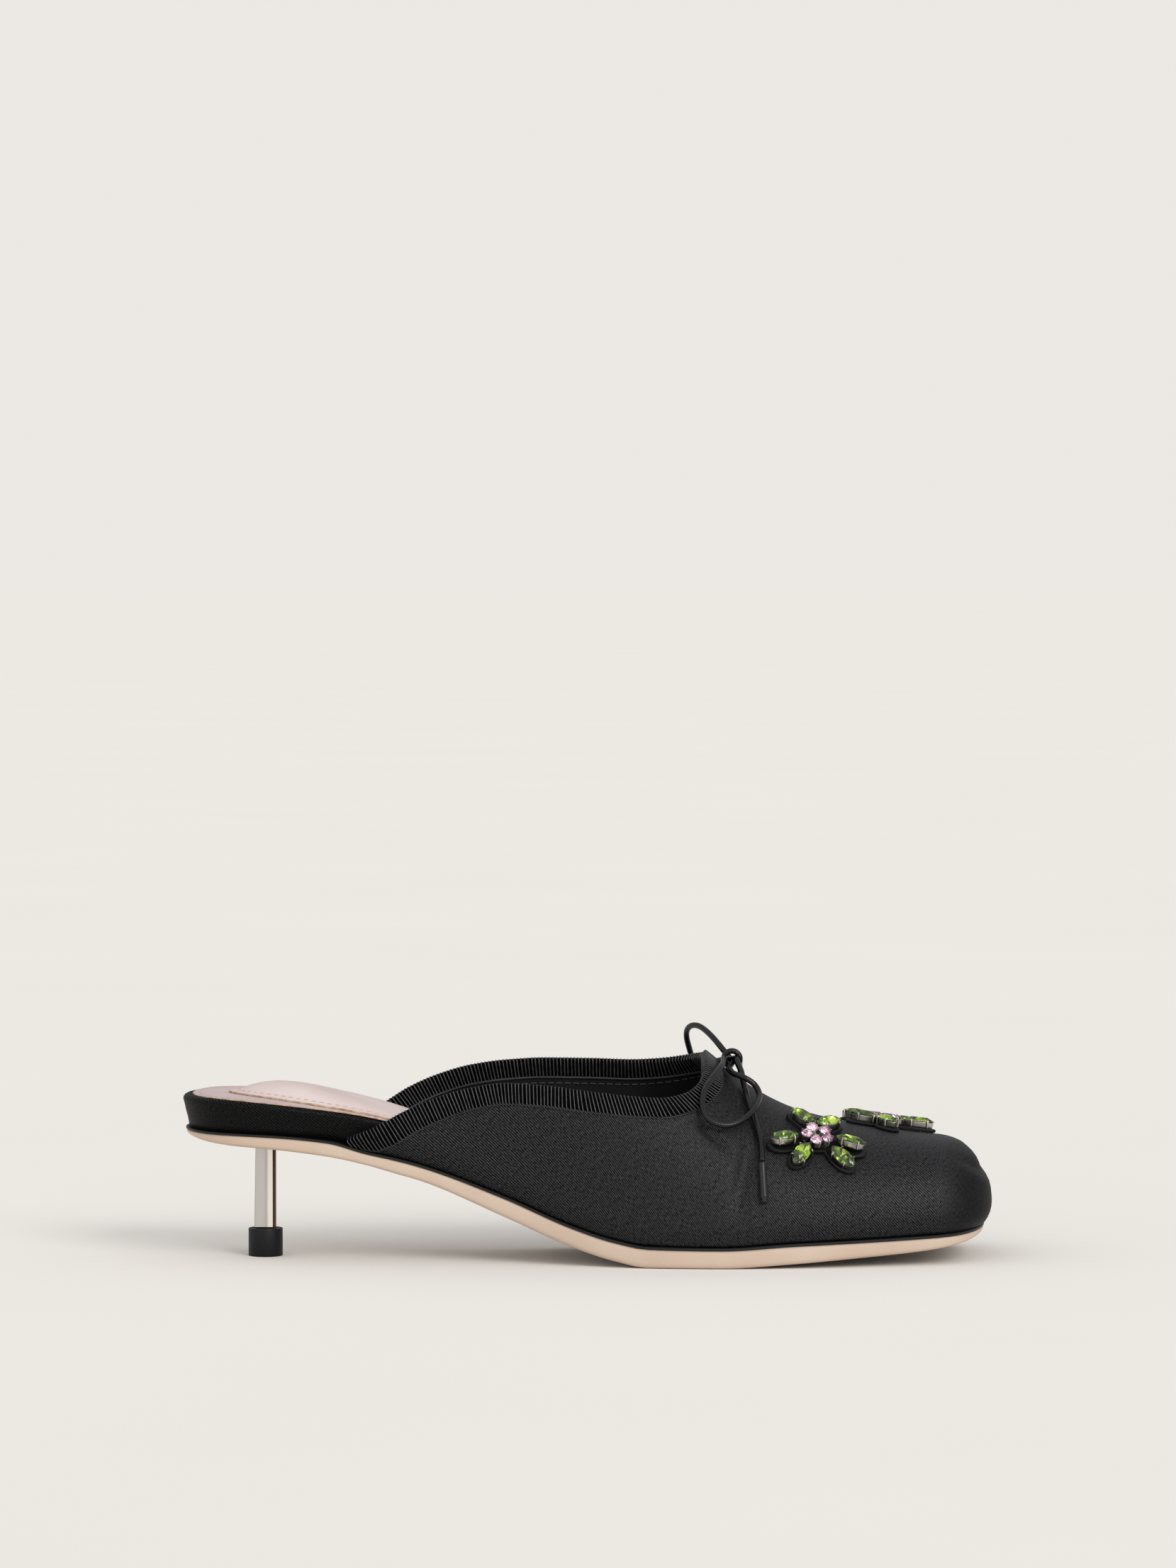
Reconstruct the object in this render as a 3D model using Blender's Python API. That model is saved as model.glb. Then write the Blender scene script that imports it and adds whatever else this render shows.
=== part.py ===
"""Heeled mule, right shoe: a satin vamp with two wings on a wrapped footbed and a pin heel.

The toe points along +X, the outer (lateral) side faces -Y and the shoe stands on z = 0.
Outline, profile, last sections and topline are short tables; every shell, band and stone
is worked out from them. All sizes are in metres.
"""
import math
from typing import NamedTuple

import bmesh
import bpy
import numpy as np
from mathutils import Matrix, Vector
from mathutils.bvhtree import BVHTree

# Gaps and sheet thicknesses
GAP = 0.0003
WALL = 0.0016
RIBBON = 0.0006
INSOLE_SHEET = 0.0008

# Sole outline ends
HEEL_X = -0.097
HEEL_REACH = 0.0250
HEEL_POWER = 2.15
TOE_X = 0.104
TOE_REACH = 0.0166
TOE_POWER = 2.7
TOE_SLANT = 0.07

# Upper: where the wings start, where the throat lies and how the wall rolls over the rand
WING_X = -0.0705
THROAT_X = 0.0357
THROAT_CORNER_X = 0.0300
THROAT_FOOT_X = 0.0460
FEATHER_INSET = 0.0010
ROLL_HEIGHT = 0.0065
ROLL_FRONT = 0.0036
CREST_TILT = -0.06

# Folded ribbon over the topline
RIBBON_GAP = 0.0004
RIBBON_OUTER_DEPTH = 0.0066
RIBBON_INNER_DEPTH = 0.0055

# Heel
PIN_X = -0.0980
PIN_WIDTH_TOP = 0.0060
PIN_WIDTH_FOOT = 0.0067
PIN_DEPTH = 0.0058
PIN_EDGE = 0.0009
TIP_RADIUS = 0.0052
TIP_HEIGHT = 0.0084
TIP_EDGE = 0.0005

# Drawcord bow
CORD_RADIUS = 0.0009
CORD_STEP = 0.0043
KNOT_CENTRE = (0.0436, 0.0022, 0.0609)
KNOT_RADII = (0.0033, 0.0030, 0.0029)
AGLET_RADIUS = 0.00115
AGLET_LENGTH = 0.0124

# Stone flowers: navette and round stones in cups on a lobed backing
NAVETTE_LENGTH = 0.0092
NAVETTE_WIDTH = 0.0047
NAVETTE_HEIGHT = 0.0019
ROUND_RADIUS = 0.0017
ROUND_HEIGHT = 0.0016
ROUND_RING = 0.0035
ROUND_COUNT = 5
ROUND_TURN = 45.0
SEAT_RADIUS = 0.0050
CUP_HEIGHT = 0.0014
BACKING_GAP = 0.0005
BACKING_THICKNESS = 0.0012
BACKING_MARGIN = 0.0013
BACKING_CORE = 0.0062
BACKING_STEPS = 40

# Mesh density
HEEL_STEPS = 7
SIDE_STEPS = 24
TOE_STEPS = 8
WING_STEPS = 24
FRONT_STEPS = 14
WALL_ROWS = 12
ROW_CROWDING = 0.07

SIGN = {"lateral": -1.0, "medial": 1.0}


class Table:
    """Rows of sections read as smooth columns over the first one."""

    def __init__(self, names, rows, monotone=False):
        data = np.array(rows, dtype=float)
        self.x = data[:, 0]
        slopes = monotone_slopes if monotone else spline_slopes
        self.columns = {}
        for index, name in enumerate(names[1:], start=1):
            self.columns[name] = (data[:, index], slopes(self.x, data[:, index]))

    def at(self, name, x):
        values, slopes = self.columns[name]
        x = min(max(x, self.x[0]), self.x[-1])
        row = int(np.clip(np.searchsorted(self.x, x) - 1, 0, len(self.x) - 2))
        span = self.x[row + 1] - self.x[row]
        u = (x - self.x[row]) / span
        start = (1 + 2 * u) * (1 - u) ** 2 * values[row] + u * (1 - u) ** 2 * span * slopes[row]
        finish = u * u * (3 - 2 * u) * values[row + 1] + u * u * (u - 1) * span * slopes[row + 1]
        return float(start + finish)


def monotone_slopes(x, y):
    """Slopes that keep flat rows flat and never overshoot."""
    step = np.diff(x)
    rate = np.diff(y) / step
    slopes = np.zeros(len(x))
    slopes[0] = rate[0]
    slopes[-1] = rate[-1]
    for i in range(1, len(x) - 1):
        if rate[i - 1] * rate[i] > 0:
            before = 2 * step[i] + step[i - 1]
            after = step[i] + 2 * step[i - 1]
            slopes[i] = (before + after) / (before / rate[i - 1] + after / rate[i])
    return slopes


def spline_slopes(x, y):
    """Slopes of the natural cubic spline through the rows."""
    count = len(x)
    step = np.diff(x)
    rate = np.diff(y) / step
    matrix = np.zeros((count, count))
    target = np.zeros(count)
    matrix[0, :2] = (2, 1)
    matrix[-1, -2:] = (1, 2)
    target[0] = 3 * rate[0]
    target[-1] = 3 * rate[-1]
    for i in range(1, count - 1):
        matrix[i, i - 1] = 1 / step[i - 1]
        matrix[i, i] = 2 / step[i - 1] + 2 / step[i]
        matrix[i, i + 1] = 1 / step[i]
        target[i] = 3 * (rate[i - 1] / step[i - 1] + rate[i] / step[i])
    return np.linalg.solve(matrix, target)


# Half widths of the sole edge from the heel's long axis
OUTLINE = Table(("x", "lateral", "medial"), (
    (-0.097, 0.0262, 0.0258),
    (-0.080, 0.0257, 0.0243),
    (-0.060, 0.0249, 0.0217),
    (-0.040, 0.0252, 0.0199),
    (-0.020, 0.0277, 0.0200),
    (0.000, 0.0322, 0.0233),
    (0.020, 0.0361, 0.0291),
    (0.040, 0.0376, 0.0344),
    (0.060, 0.0366, 0.0373),
    (0.080, 0.0334, 0.0370),
    (0.104, 0.0280, 0.0336),
))

# Side profile: the outsole top dips where the wings are lasted under
PROFILE = Table(("x", "rand_top", "outsole_top", "outsole_bottom", "footbed_top"), (
    (-0.123, 0.0407, 0.0395, 0.0382, 0.0505),
    (-0.115, 0.0407, 0.0395, 0.0366, 0.0505),
    (-0.107, 0.0406, 0.0394, 0.0359, 0.0502),
    (-0.098, 0.0402, 0.0390, 0.0352, 0.0495),
    (-0.078, 0.0382, 0.0370, 0.0326, 0.0470),
    (-0.067, 0.0357, 0.0335, 0.0301, 0.0452),
    (-0.058, 0.0331, 0.0315, 0.0274, 0.0431),
    (-0.050, 0.0306, 0.0294, 0.0249, 0.0408),
    (-0.025, 0.0214, 0.0202, 0.0143, 0.0310),
    (-0.005, 0.0130, 0.0118, 0.0058, 0.0217),
    (0.008, 0.0089, 0.0077, 0.0018, 0.0161),
    (0.018, 0.0071, 0.0059, 0.0000, 0.0128),
    (0.040, 0.0068, 0.0056, 0.0000, 0.0102),
    (0.060, 0.0080, 0.0068, 0.0011, 0.0113),
    (0.080, 0.0089, 0.0077, 0.0026, 0.0122),
    (0.100, 0.0099, 0.0087, 0.0043, 0.0132),
    (0.112, 0.0108, 0.0096, 0.0061, 0.0141),
    (0.121, 0.0116, 0.0104, 0.0084, 0.0149),
), monotone=True)

# Last sections: ridge line, squareness of the arch and roll of the wall beyond the feather
SECTIONS = Table(("x", "crest_y", "crest_z", "squareness", "roll"), (
    (-0.075, 0.0010, 0.1000, 2.30, 0.0023),
    (-0.050, 0.0015, 0.1000, 2.30, 0.0022),
    (-0.020, 0.0025, 0.0960, 2.25, 0.0018),
    (0.005, 0.0035, 0.0855, 2.20, 0.0014),
    (0.020, 0.0042, 0.0745, 2.15, 0.0012),
    (0.036, 0.0046, 0.0614, 2.10, 0.0011),
    (0.046, 0.0046, 0.0536, 2.12, 0.0011),
    (0.056, 0.0045, 0.0474, 2.18, 0.0011),
    (0.067, 0.0042, 0.0430, 2.26, 0.0012),
    (0.078, 0.0038, 0.0405, 2.38, 0.0013),
    (0.090, 0.0033, 0.0384, 2.50, 0.0015),
    (0.104, 0.0028, 0.0366, 2.62, 0.0018),
))

# Height of the wall's cut edge along the topline
COLLAR = Table(("x", "lateral", "medial"), (
    (-0.0705, 0.0380, 0.0383),
    (-0.0615, 0.0425, 0.0441),
    (-0.0550, 0.0461, 0.0483),
    (-0.0460, 0.0500, 0.0524),
    (-0.0360, 0.0532, 0.0554),
    (-0.0250, 0.0551, 0.0572),
    (-0.0140, 0.0546, 0.0577),
    (0.0010, 0.0526, 0.0573),
    (0.0140, 0.0507, 0.0568),
    (0.0220, 0.0502, 0.0572),
    (0.0290, 0.0513, 0.0588),
    (0.0335, 0.0541, 0.0599),
    (0.0352, 0.0569, 0.0605),
    (0.0357, 0.0620, 0.0620),
), monotone=True)

# How far the footbed lies inside the sole edge at its foot and at its top
FOOTBED_INSET = Table(("x", "foot", "top"), (
    (-0.123, 0.0010, -0.0009),
    (-0.090, 0.0010, -0.0009),
    (-0.072, 0.0035, 0.0016),
    (-0.050, 0.0036, 0.0026),
    (0.121, 0.0034, 0.0034),
), monotone=True)

# How far the insole lies inside the sole edge
INSOLE_INSET = Table(("x", "edge"), (
    (-0.123, 0.0022),
    (-0.113, 0.0010),
    (-0.092, 0.0003),
    (-0.072, 0.0024),
    (-0.050, 0.0032),
    (0.121, 0.0038),
), monotone=True)

# Heel pad: half widths from its own axis and how far its crown stands over its edge
HEEL_PAD = Table(("x", "lateral", "medial", "crown"), (
    (-0.1090, 0.0004, 0.0004, 0.0002),
    (-0.1065, 0.0058, 0.0058, 0.0007),
    (-0.1000, 0.0110, 0.0110, 0.0013),
    (-0.0880, 0.0160, 0.0155, 0.0013),
    (-0.0720, 0.0182, 0.0172, 0.0009),
    (-0.0500, 0.0180, 0.0150, 0.0006),
    (-0.0360, 0.0140, 0.0110, 0.0005),
    (-0.0310, 0.0080, 0.0060, 0.0005),
    (-0.0295, 0.0004, 0.0004, 0.0002),
), monotone=True)
PAD_EDGE = 0.0010


class Petal(NamedTuple):
    """Navette of a flower: bearing and reach of its middle, bearing of its long axis."""

    bearing: float
    reach: float
    axis: float


PETALS = (
    Petal(115.0, 0.0096, 138.0),
    Petal(64.0, 0.0090, 36.0),
    Petal(204.0, 0.0106, 202.0),
    Petal(240.0, 0.0098, 242.0),
    Petal(346.0, 0.0104, 346.0),
    Petal(315.0, 0.0110, 315.0),
)

# Flower centres on the vamp in plan and the turn of the whole flower in degrees
FLOWERS = {
    "lateral": (0.0683, -0.0216, 0.0),
    "medial": (0.0907, 0.0096, 160.0),
}

# Routes of the bow, each starting at the knot
BOW_ROUTES = {
    "bow_loop_lateral": (
        (0.0417, -0.0007, 0.0603), (0.0410, -0.0065, 0.0597), (0.0402, -0.0124, 0.0587),
        (0.0383, -0.0175, 0.0568), (0.0366, -0.0211, 0.0548), (0.0351, -0.0241, 0.0525),
        (0.0343, -0.0268, 0.0497), (0.0344, -0.0290, 0.0472), (0.0355, -0.0303, 0.0448),
        (0.0384, -0.0308, 0.0430), (0.0419, -0.0303, 0.0425), (0.0456, -0.0285, 0.0436),
        (0.0490, -0.0249, 0.0459), (0.0511, -0.0193, 0.0486), (0.0514, -0.0139, 0.0512),
        (0.0502, -0.0122, 0.0531), (0.0484, -0.0122, 0.0545), (0.0463, -0.0118, 0.0555),
        (0.0442, -0.0105, 0.0562), (0.0429, -0.0080, 0.0570), (0.0426, -0.0045, 0.0576),
        (0.0437, -0.0005, 0.0585),
    ),
    "bow_loop_medial": (
        (0.0419, 0.0040, 0.0632), (0.0388, 0.0066, 0.0647), (0.0361, 0.0110, 0.0671),
        (0.0335, 0.0150, 0.0685), (0.0316, 0.0180, 0.0685), (0.0304, 0.0210, 0.0668),
        (0.0304, 0.0232, 0.0642), (0.0312, 0.0248, 0.0610), (0.0324, 0.0262, 0.0567),
        (0.0342, 0.0280, 0.0520), (0.0368, 0.0290, 0.0485), (0.0402, 0.0291, 0.0464),
        (0.0433, 0.0276, 0.0466), (0.0447, 0.0247, 0.0487), (0.0446, 0.0210, 0.0517),
        (0.0438, 0.0168, 0.0547), (0.0430, 0.0120, 0.0573), (0.0428, 0.0068, 0.0596),
    ),
    "bow_end_lateral": (
        (0.0450, -0.0010, 0.0600), (0.0454, -0.0032, 0.0587), (0.0463, -0.0055, 0.0568),
        (0.0467, -0.0080, 0.0549), (0.0473, -0.0106, 0.0523), (0.0479, -0.0149, 0.0498),
        (0.0487, -0.0189, 0.0471), (0.0494, -0.0210, 0.0453), (0.0501, -0.0232, 0.0432),
        (0.0508, -0.0255, 0.0409), (0.0514, -0.0275, 0.0387), (0.0519, -0.0302, 0.0353),
        (0.0519, -0.0328, 0.0319),
    ),
    "bow_end_medial": (
        (0.0460, 0.0056, 0.0594), (0.0463, 0.0097, 0.0578), (0.0466, 0.0141, 0.0554),
        (0.0470, 0.0186, 0.0524), (0.0477, 0.0231, 0.0486), (0.0486, 0.0268, 0.0444),
        (0.0496, 0.0299, 0.0397), (0.0505, 0.0327, 0.0345),
    ),
}
AGLET_ENDS = {
    "lateral": (0.0525, -0.0377, 0.0203),
    "medial": (0.0517, 0.0380, 0.0228),
}


def clear_scene():
    for thing in list(bpy.data.objects):
        bpy.data.objects.remove(thing, do_unlink=True)


def material(name, colour, roughness, metallic=0.0):
    finish = bpy.data.materials.new(name)
    finish.use_nodes = True
    shader = finish.node_tree.nodes["Principled BSDF"]
    shader.inputs["Base Color"].default_value = (*colour, 1.0)
    shader.inputs["Roughness"].default_value = roughness
    shader.inputs["Metallic"].default_value = metallic
    return finish


def add_object(name, data, finish, parent):
    thing = bpy.data.objects.new(name, data)
    bpy.context.scene.collection.objects.link(thing)
    thing.parent = parent
    data.materials.append(finish)
    return thing


def mesh_from(bm, name):
    bmesh.ops.recalc_face_normals(bm, faces=bm.faces)
    data = bpy.data.meshes.new(name)
    bm.to_mesh(data)
    bm.free()
    return data


def station_of(x):
    """Station 0 to 1 along the sides; -1 to 0 is the heel's round end and 1 to 2 the toe."""
    return (x - HEEL_X) / (TOE_X - HEEL_X)


def outline_point(side, station, inset=0.0):
    """Plan point of the sole edge, moved inwards by the inset."""
    sign = SIGN[side]
    if station < 0:
        angle = (1 + station) * math.pi / 2
        width = OUTLINE.at(side, HEEL_X) - inset
        x = HEEL_X - (HEEL_REACH - inset) * math.cos(angle) ** (2 / HEEL_POWER)
        return x, sign * width * math.sin(angle) ** (2 / HEEL_POWER)
    if station <= 1:
        x = HEEL_X + (TOE_X - HEEL_X) * station
        return x, sign * (OUTLINE.at(side, x) - inset)
    angle = (station - 1) * math.pi / 2
    ahead = math.sin(angle) ** (2 / TOE_POWER)
    across = max(math.cos(angle), 0.0) ** (2 / TOE_POWER)
    axis = (OUTLINE.at("medial", TOE_X) - OUTLINE.at("lateral", TOE_X)) / 2
    half = (OUTLINE.at("medial", TOE_X) + OUTLINE.at("lateral", TOE_X)) / 2 - inset
    taper = (OUTLINE.at(side, TOE_X) - OUTLINE.at(side, TOE_X - 0.002)) / 0.002
    run = (TOE_REACH - inset) * ahead
    offset = sign * (half + taper * run) * across
    return TOE_X + run + TOE_SLANT * offset * ahead, axis + offset


def ring_stations():
    heel = np.linspace(-1, 0, HEEL_STEPS, endpoint=False)
    side = np.linspace(0, 1, SIDE_STEPS, endpoint=False)
    toe = np.linspace(1, 2, TOE_STEPS + 1)
    return np.concatenate([heel, side, toe])


def sole_ring(inset, height):
    """Closed loop round the sole: inset and height are functions of x."""
    halves = {}
    for side in SIGN:
        halves[side] = []
        for station in ring_stations():
            x_edge, _ = outline_point(side, station)
            x, y = outline_point(side, station, inset(x_edge))
            halves[side].append((x, y, height(x)))
    return halves["lateral"] + halves["medial"][-2:0:-1]


def loft(name, rings):
    """Solid through matched loops, its two ends closed by rungs from side to side."""
    bm = bmesh.new()
    loops = [[bm.verts.new(point) for point in ring] for ring in rings]
    count = len(loops[0])
    for lower, upper in zip(loops, loops[1:]):
        for i in range(count):
            j = (i + 1) % count
            bm.faces.new((lower[i], lower[j], upper[j], upper[i]))
    half = count // 2
    for loop in (loops[0], loops[-1]):
        for i in range(half):
            rung = [loop[i], loop[i + 1], loop[(count - i - 1) % count], loop[(count - i) % count]]
            bm.faces.new(list(dict.fromkeys(rung)))
    return mesh_from(bm, name)


def build_outsole(finish, parent):
    top = lambda x: PROFILE.at("outsole_top", x)
    bottom = lambda x: PROFILE.at("outsole_bottom", x)
    between = lambda share: lambda x: bottom(x) + share * (top(x) - bottom(x))
    rings = [
        sole_ring(lambda x: 0.0048, bottom),
        sole_ring(lambda x: 0.0018, between(0.16)),
        sole_ring(lambda x: 0.0003, between(0.52)),
        sole_ring(lambda x: 0.0003, top),
    ]
    return add_object("outsole", loft("outsole", rings), finish, parent)


def build_rand(finish, parent):
    foot = lambda x: PROFILE.at("outsole_top", x) + GAP
    top = lambda x: PROFILE.at("rand_top", x)
    rings = [
        sole_ring(lambda x: 0.0, foot),
        sole_ring(lambda x: 0.0, top),
    ]
    return add_object("rand", loft("rand", rings), finish, parent)


def build_footbed(finish, parent):
    foot = lambda x: PROFILE.at("rand_top", x) + GAP
    top = lambda x: PROFILE.at("footbed_top", x)
    foot_inset = lambda x: FOOTBED_INSET.at("foot", x)
    top_inset = lambda x: FOOTBED_INSET.at("top", x)
    rings = [
        sole_ring(foot_inset, foot),
        sole_ring(lambda x: 0.45 * foot_inset(x) + 0.55 * top_inset(x),
                  lambda x: 0.5 * foot(x) + 0.5 * top(x)),
        sole_ring(top_inset, lambda x: top(x) - 0.0010),
        sole_ring(lambda x: top_inset(x) + 0.0009, top),
    ]
    return add_object("footbed", loft("footbed", rings), finish, parent)


def build_insole(finish, parent):
    edge = lambda x: INSOLE_INSET.at("edge", x)
    foot = lambda x: PROFILE.at("footbed_top", x) + GAP
    rings = [
        sole_ring(edge, foot),
        sole_ring(edge, lambda x: foot(x) + INSOLE_SHEET),
    ]
    return add_object("insole", loft("insole", rings), finish, parent)


def insole_top(x):
    return PROFILE.at("footbed_top", x) + GAP + INSOLE_SHEET


def build_heel_pad(finish, parent):
    """Pad on the insole: a sheet edge with a crown over it."""
    stations = -0.0695 - 0.0395 * np.cos(np.linspace(0, math.pi, 19))
    rings = []
    for share, edge, crown in ((1.0, 0.0, 0.0), (1.0, 1.0, 0.0), (0.86, 1.0, 0.45), (0.5, 1.0, 0.86)):
        halves = {}
        for side in SIGN:
            halves[side] = []
            for x in stations:
                foot = insole_top(x) + GAP
                y = SIGN[side] * HEEL_PAD.at(side, x) * share
                halves[side].append((x, y, foot + PAD_EDGE * edge + HEEL_PAD.at("crown", x) * crown))
        ends = (halves["lateral"][0], halves["lateral"][-1])
        first = (ends[0][0], 0.0, ends[0][2])
        last = (ends[1][0], 0.0, ends[1][2])
        rings.append([first] + halves["lateral"][1:-1] + [last] + halves["medial"][-2:0:-1])
    return add_object("heel_pad", loft("heel_pad", rings), finish, parent)


def build_heel(steel, rubber, parent):
    """Rounded square bar under the heel seat and the turned tip it stands on."""
    bm = bmesh.new()
    bmesh.ops.create_cube(bm, size=1.0)
    foot = TIP_HEIGHT + GAP
    for vert in bm.verts:
        high = vert.co.z > 0
        width = PIN_WIDTH_TOP if high else PIN_WIDTH_FOOT
        x = vert.co.x * width
        vert.co.z = PROFILE.at("outsole_bottom", PIN_X + x) - 2 * GAP if high else foot
        vert.co.x = x
        vert.co.y = vert.co.y * PIN_DEPTH
    uprights = [e for e in bm.edges if abs(e.verts[0].co.z - e.verts[1].co.z) > 0.01]
    bmesh.ops.bevel(bm, geom=uprights, offset=PIN_EDGE, segments=3, profile=0.5, affect="EDGES")
    pin = add_object("heel_pin", mesh_from(bm, "heel_pin"), steel, parent)
    pin.location = (PIN_X, 0.0, 0.0)

    bm = bmesh.new()
    bmesh.ops.create_cone(bm, cap_ends=True, segments=24, radius1=TIP_RADIUS, radius2=TIP_RADIUS - 0.0003,
                          depth=TIP_HEIGHT, matrix=Matrix.Translation((0, 0, TIP_HEIGHT / 2)))
    rims = [e for e in bm.edges if abs(e.verts[0].co.z - e.verts[1].co.z) < 1e-6]
    bmesh.ops.bevel(bm, geom=rims, offset=TIP_EDGE, segments=1, profile=0.5, affect="EDGES")
    tip = add_object("heel_tip", mesh_from(bm, "heel_tip"), rubber, parent)
    tip.location = (PIN_X, 0.0, 0.0)
    return pin, tip


def wall(side, station, count=36):
    """Outer line of the upper from the feather to the ridge, and its running length."""
    if station <= 1:
        x = HEEL_X + (TOE_X - HEEL_X) * station
        top_x = x
        roll = SECTIONS.at("roll", x)
    else:
        top_x = TOE_X
        turn = min(station - 1, 1.0)
        side_roll = SECTIONS.at("roll", TOE_X)
        roll = side_roll + (ROLL_FRONT - side_roll) * turn * turn * (3 - 2 * turn)
    foot = np.array(outline_point(side, station, FEATHER_INSET))
    top = np.array((top_x, SECTIONS.at("crest_y", top_x)))
    foot_z = PROFILE.at("rand_top", foot[0]) + GAP
    top_z = SECTIONS.at("crest_z", top_x)
    power = SECTIONS.at("squareness", top_x)
    angle = np.linspace(0.0, math.pi / 2, count)
    inward = 1 - np.clip(np.cos(angle), 0, 1) ** (2 / power)
    rise = np.sin(angle) ** (2 / power)
    outward = (foot - top) / np.linalg.norm(foot - top)
    swell = 1 - (1 - np.minimum((top_z - foot_z) * rise / ROLL_HEIGHT, 1)) ** 2
    plan = foot + np.outer(inward, top - foot) + np.outer(roll * swell * (1 - inward), outward)
    height = foot_z + (top_z + CREST_TILT * (plan[:, 0] - top_x) - foot_z) * rise
    points = np.column_stack([plan, height])
    steps = np.linalg.norm(np.diff(points, axis=0), axis=1)
    return points, np.concatenate([[0.0], np.cumsum(steps)])


def on_last(x, girth):
    """Point of the last from its flat pattern: x along the ridge, girth down from it.

    Negative girth lies on the lateral side. Ahead of the toe point the pattern fans out.
    """
    side = "lateral" if girth < 0 else "medial"
    station = station_of(x)
    reach = abs(girth)
    if x > TOE_X:
        station = 2 - math.atan2(reach, x - TOE_X) / (math.pi / 2)
        reach = math.hypot(x - TOE_X, girth)
    points, length = wall(side, station)
    at = length[-1] - reach
    return Vector([float(np.interp(at, length, points[:, axis])) for axis in range(3)])


def evenly(places, count):
    """Pattern places spaced evenly over the last, first and final kept."""
    points = [on_last(*place) for place in places]
    steps = [(second - first).length for first, second in zip(points, points[1:])]
    along = np.concatenate([[0.0], np.cumsum(steps)])
    wanted = np.linspace(0.0, along[-1], count + 1)
    pairs = [np.interp(wanted, along, [place[axis] for place in places]) for axis in (0, 1)]
    return list(zip(*pairs))


def topline(side):
    """Pattern places of the cut edge, wing tip to throat centre."""
    run = np.linspace(0.0, 1.0, 160)
    places = []
    for x in WING_X + (THROAT_X - WING_X) * (1 - (1 - run) ** 2):
        line, length = wall(side, station_of(x))
        cut = float(np.interp(COLLAR.at(side, x), line[:, 2], length))
        places.append((x, SIGN[side] * (length[-1] - cut)))
    corner = max(i for i, place in enumerate(places) if place[0] <= THROAT_CORNER_X)
    wing = evenly(places[:corner + 1], WING_STEPS)
    return wing + evenly(places[corner:], FRONT_STEPS)[1:]


def feather(side):
    """Pattern places of the lower edge, wing foot to toe front."""
    wing = []
    for x in np.linspace(WING_X, THROAT_FOOT_X, 80):
        wing.append((x, SIGN[side] * wall(side, station_of(x))[1][-1]))
    front = [wing[-1]]
    for station in np.linspace(station_of(THROAT_FOOT_X), 2, 160)[1:]:
        length = wall(side, station)[1][-1]
        if station <= 1:
            front.append((HEEL_X + (TOE_X - HEEL_X) * station, SIGN[side] * length))
        else:
            turn = (2 - station) * math.pi / 2
            front.append((TOE_X + length * math.cos(turn), SIGN[side] * length * math.sin(turn)))
    return evenly(wing, WING_STEPS) + evenly(front, FRONT_STEPS)[1:]


def pattern_columns():
    """Columns of the upper as pairs of pattern places, lateral wing round the toe to medial wing."""
    columns = list(zip(topline("lateral"), feather("lateral")))
    return columns + list(zip(topline("medial"), feather("medial")))[-2::-1]


def build_upper(tree, finish, parent):
    """Vamp and wings: the outer surface, the lining surface a wall inside it and the cut edges."""
    bm = bmesh.new()
    grid = []
    for edge, foot in pattern_columns():
        line = []
        for row in range(WALL_ROWS + 1):
            level = row / WALL_ROWS
            level -= ROW_CROWDING * math.sin(2 * math.pi * level)
            x = edge[0] + (foot[0] - edge[0]) * level
            girth = edge[1] + (foot[1] - edge[1]) * level
            line.append(bm.verts.new(on_last(x, girth)))
        grid.append(line)
    for first, second in zip(grid, grid[1:]):
        for row in range(WALL_ROWS):
            bm.faces.new((first[row], second[row], second[row + 1], first[row + 1]))
    faces = list(bm.faces)
    rims = [edge for edge in bm.edges if edge.is_boundary]
    lining = {vert: bm.verts.new(lifted(tree, vert.co, -WALL)[0]) for vert in list(bm.verts)}
    for face in faces:
        bm.faces.new([lining[vert] for vert in reversed(face.verts)])
    for rim in rims:
        first, second = rim.verts
        bm.faces.new((first, second, lining[second], lining[first]))
    return add_object("upper", mesh_from(bm, "upper"), finish, parent)


def last_tree():
    """Search tree over the whole outer surface of the last, above the topline too."""
    bm = bmesh.new()
    stations = np.concatenate([np.linspace(station_of(-0.076), 1, 90), np.linspace(1, 2, 25)[1:]])
    for side in SIGN:
        grid = []
        for station in stations:
            points, length = wall(side, station)
            at = np.linspace(0, length[-1], 32)
            line = np.column_stack([np.interp(at, length, points[:, axis]) for axis in range(3)])
            grid.append([bm.verts.new(point) for point in line])
        for first, second in zip(grid, grid[1:]):
            for row in range(31):
                bm.faces.new((first[row], second[row], second[row + 1], first[row + 1]))
    bmesh.ops.remove_doubles(bm, verts=bm.verts, dist=2e-6)
    bmesh.ops.recalc_face_normals(bm, faces=bm.faces)
    front = max(bm.faces, key=lambda face: face.calc_center_median().x)
    if front.normal.x < 0:
        bmesh.ops.reverse_faces(bm, faces=bm.faces)
    tree = BVHTree.FromBMesh(bm)
    bm.free()
    return tree


def lifted(tree, point, height):
    """Nearest place on the last, lifted off it along the outward normal."""
    place, normal, _, _ = tree.find_nearest(Vector(point))
    return place + normal * height, normal


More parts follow.
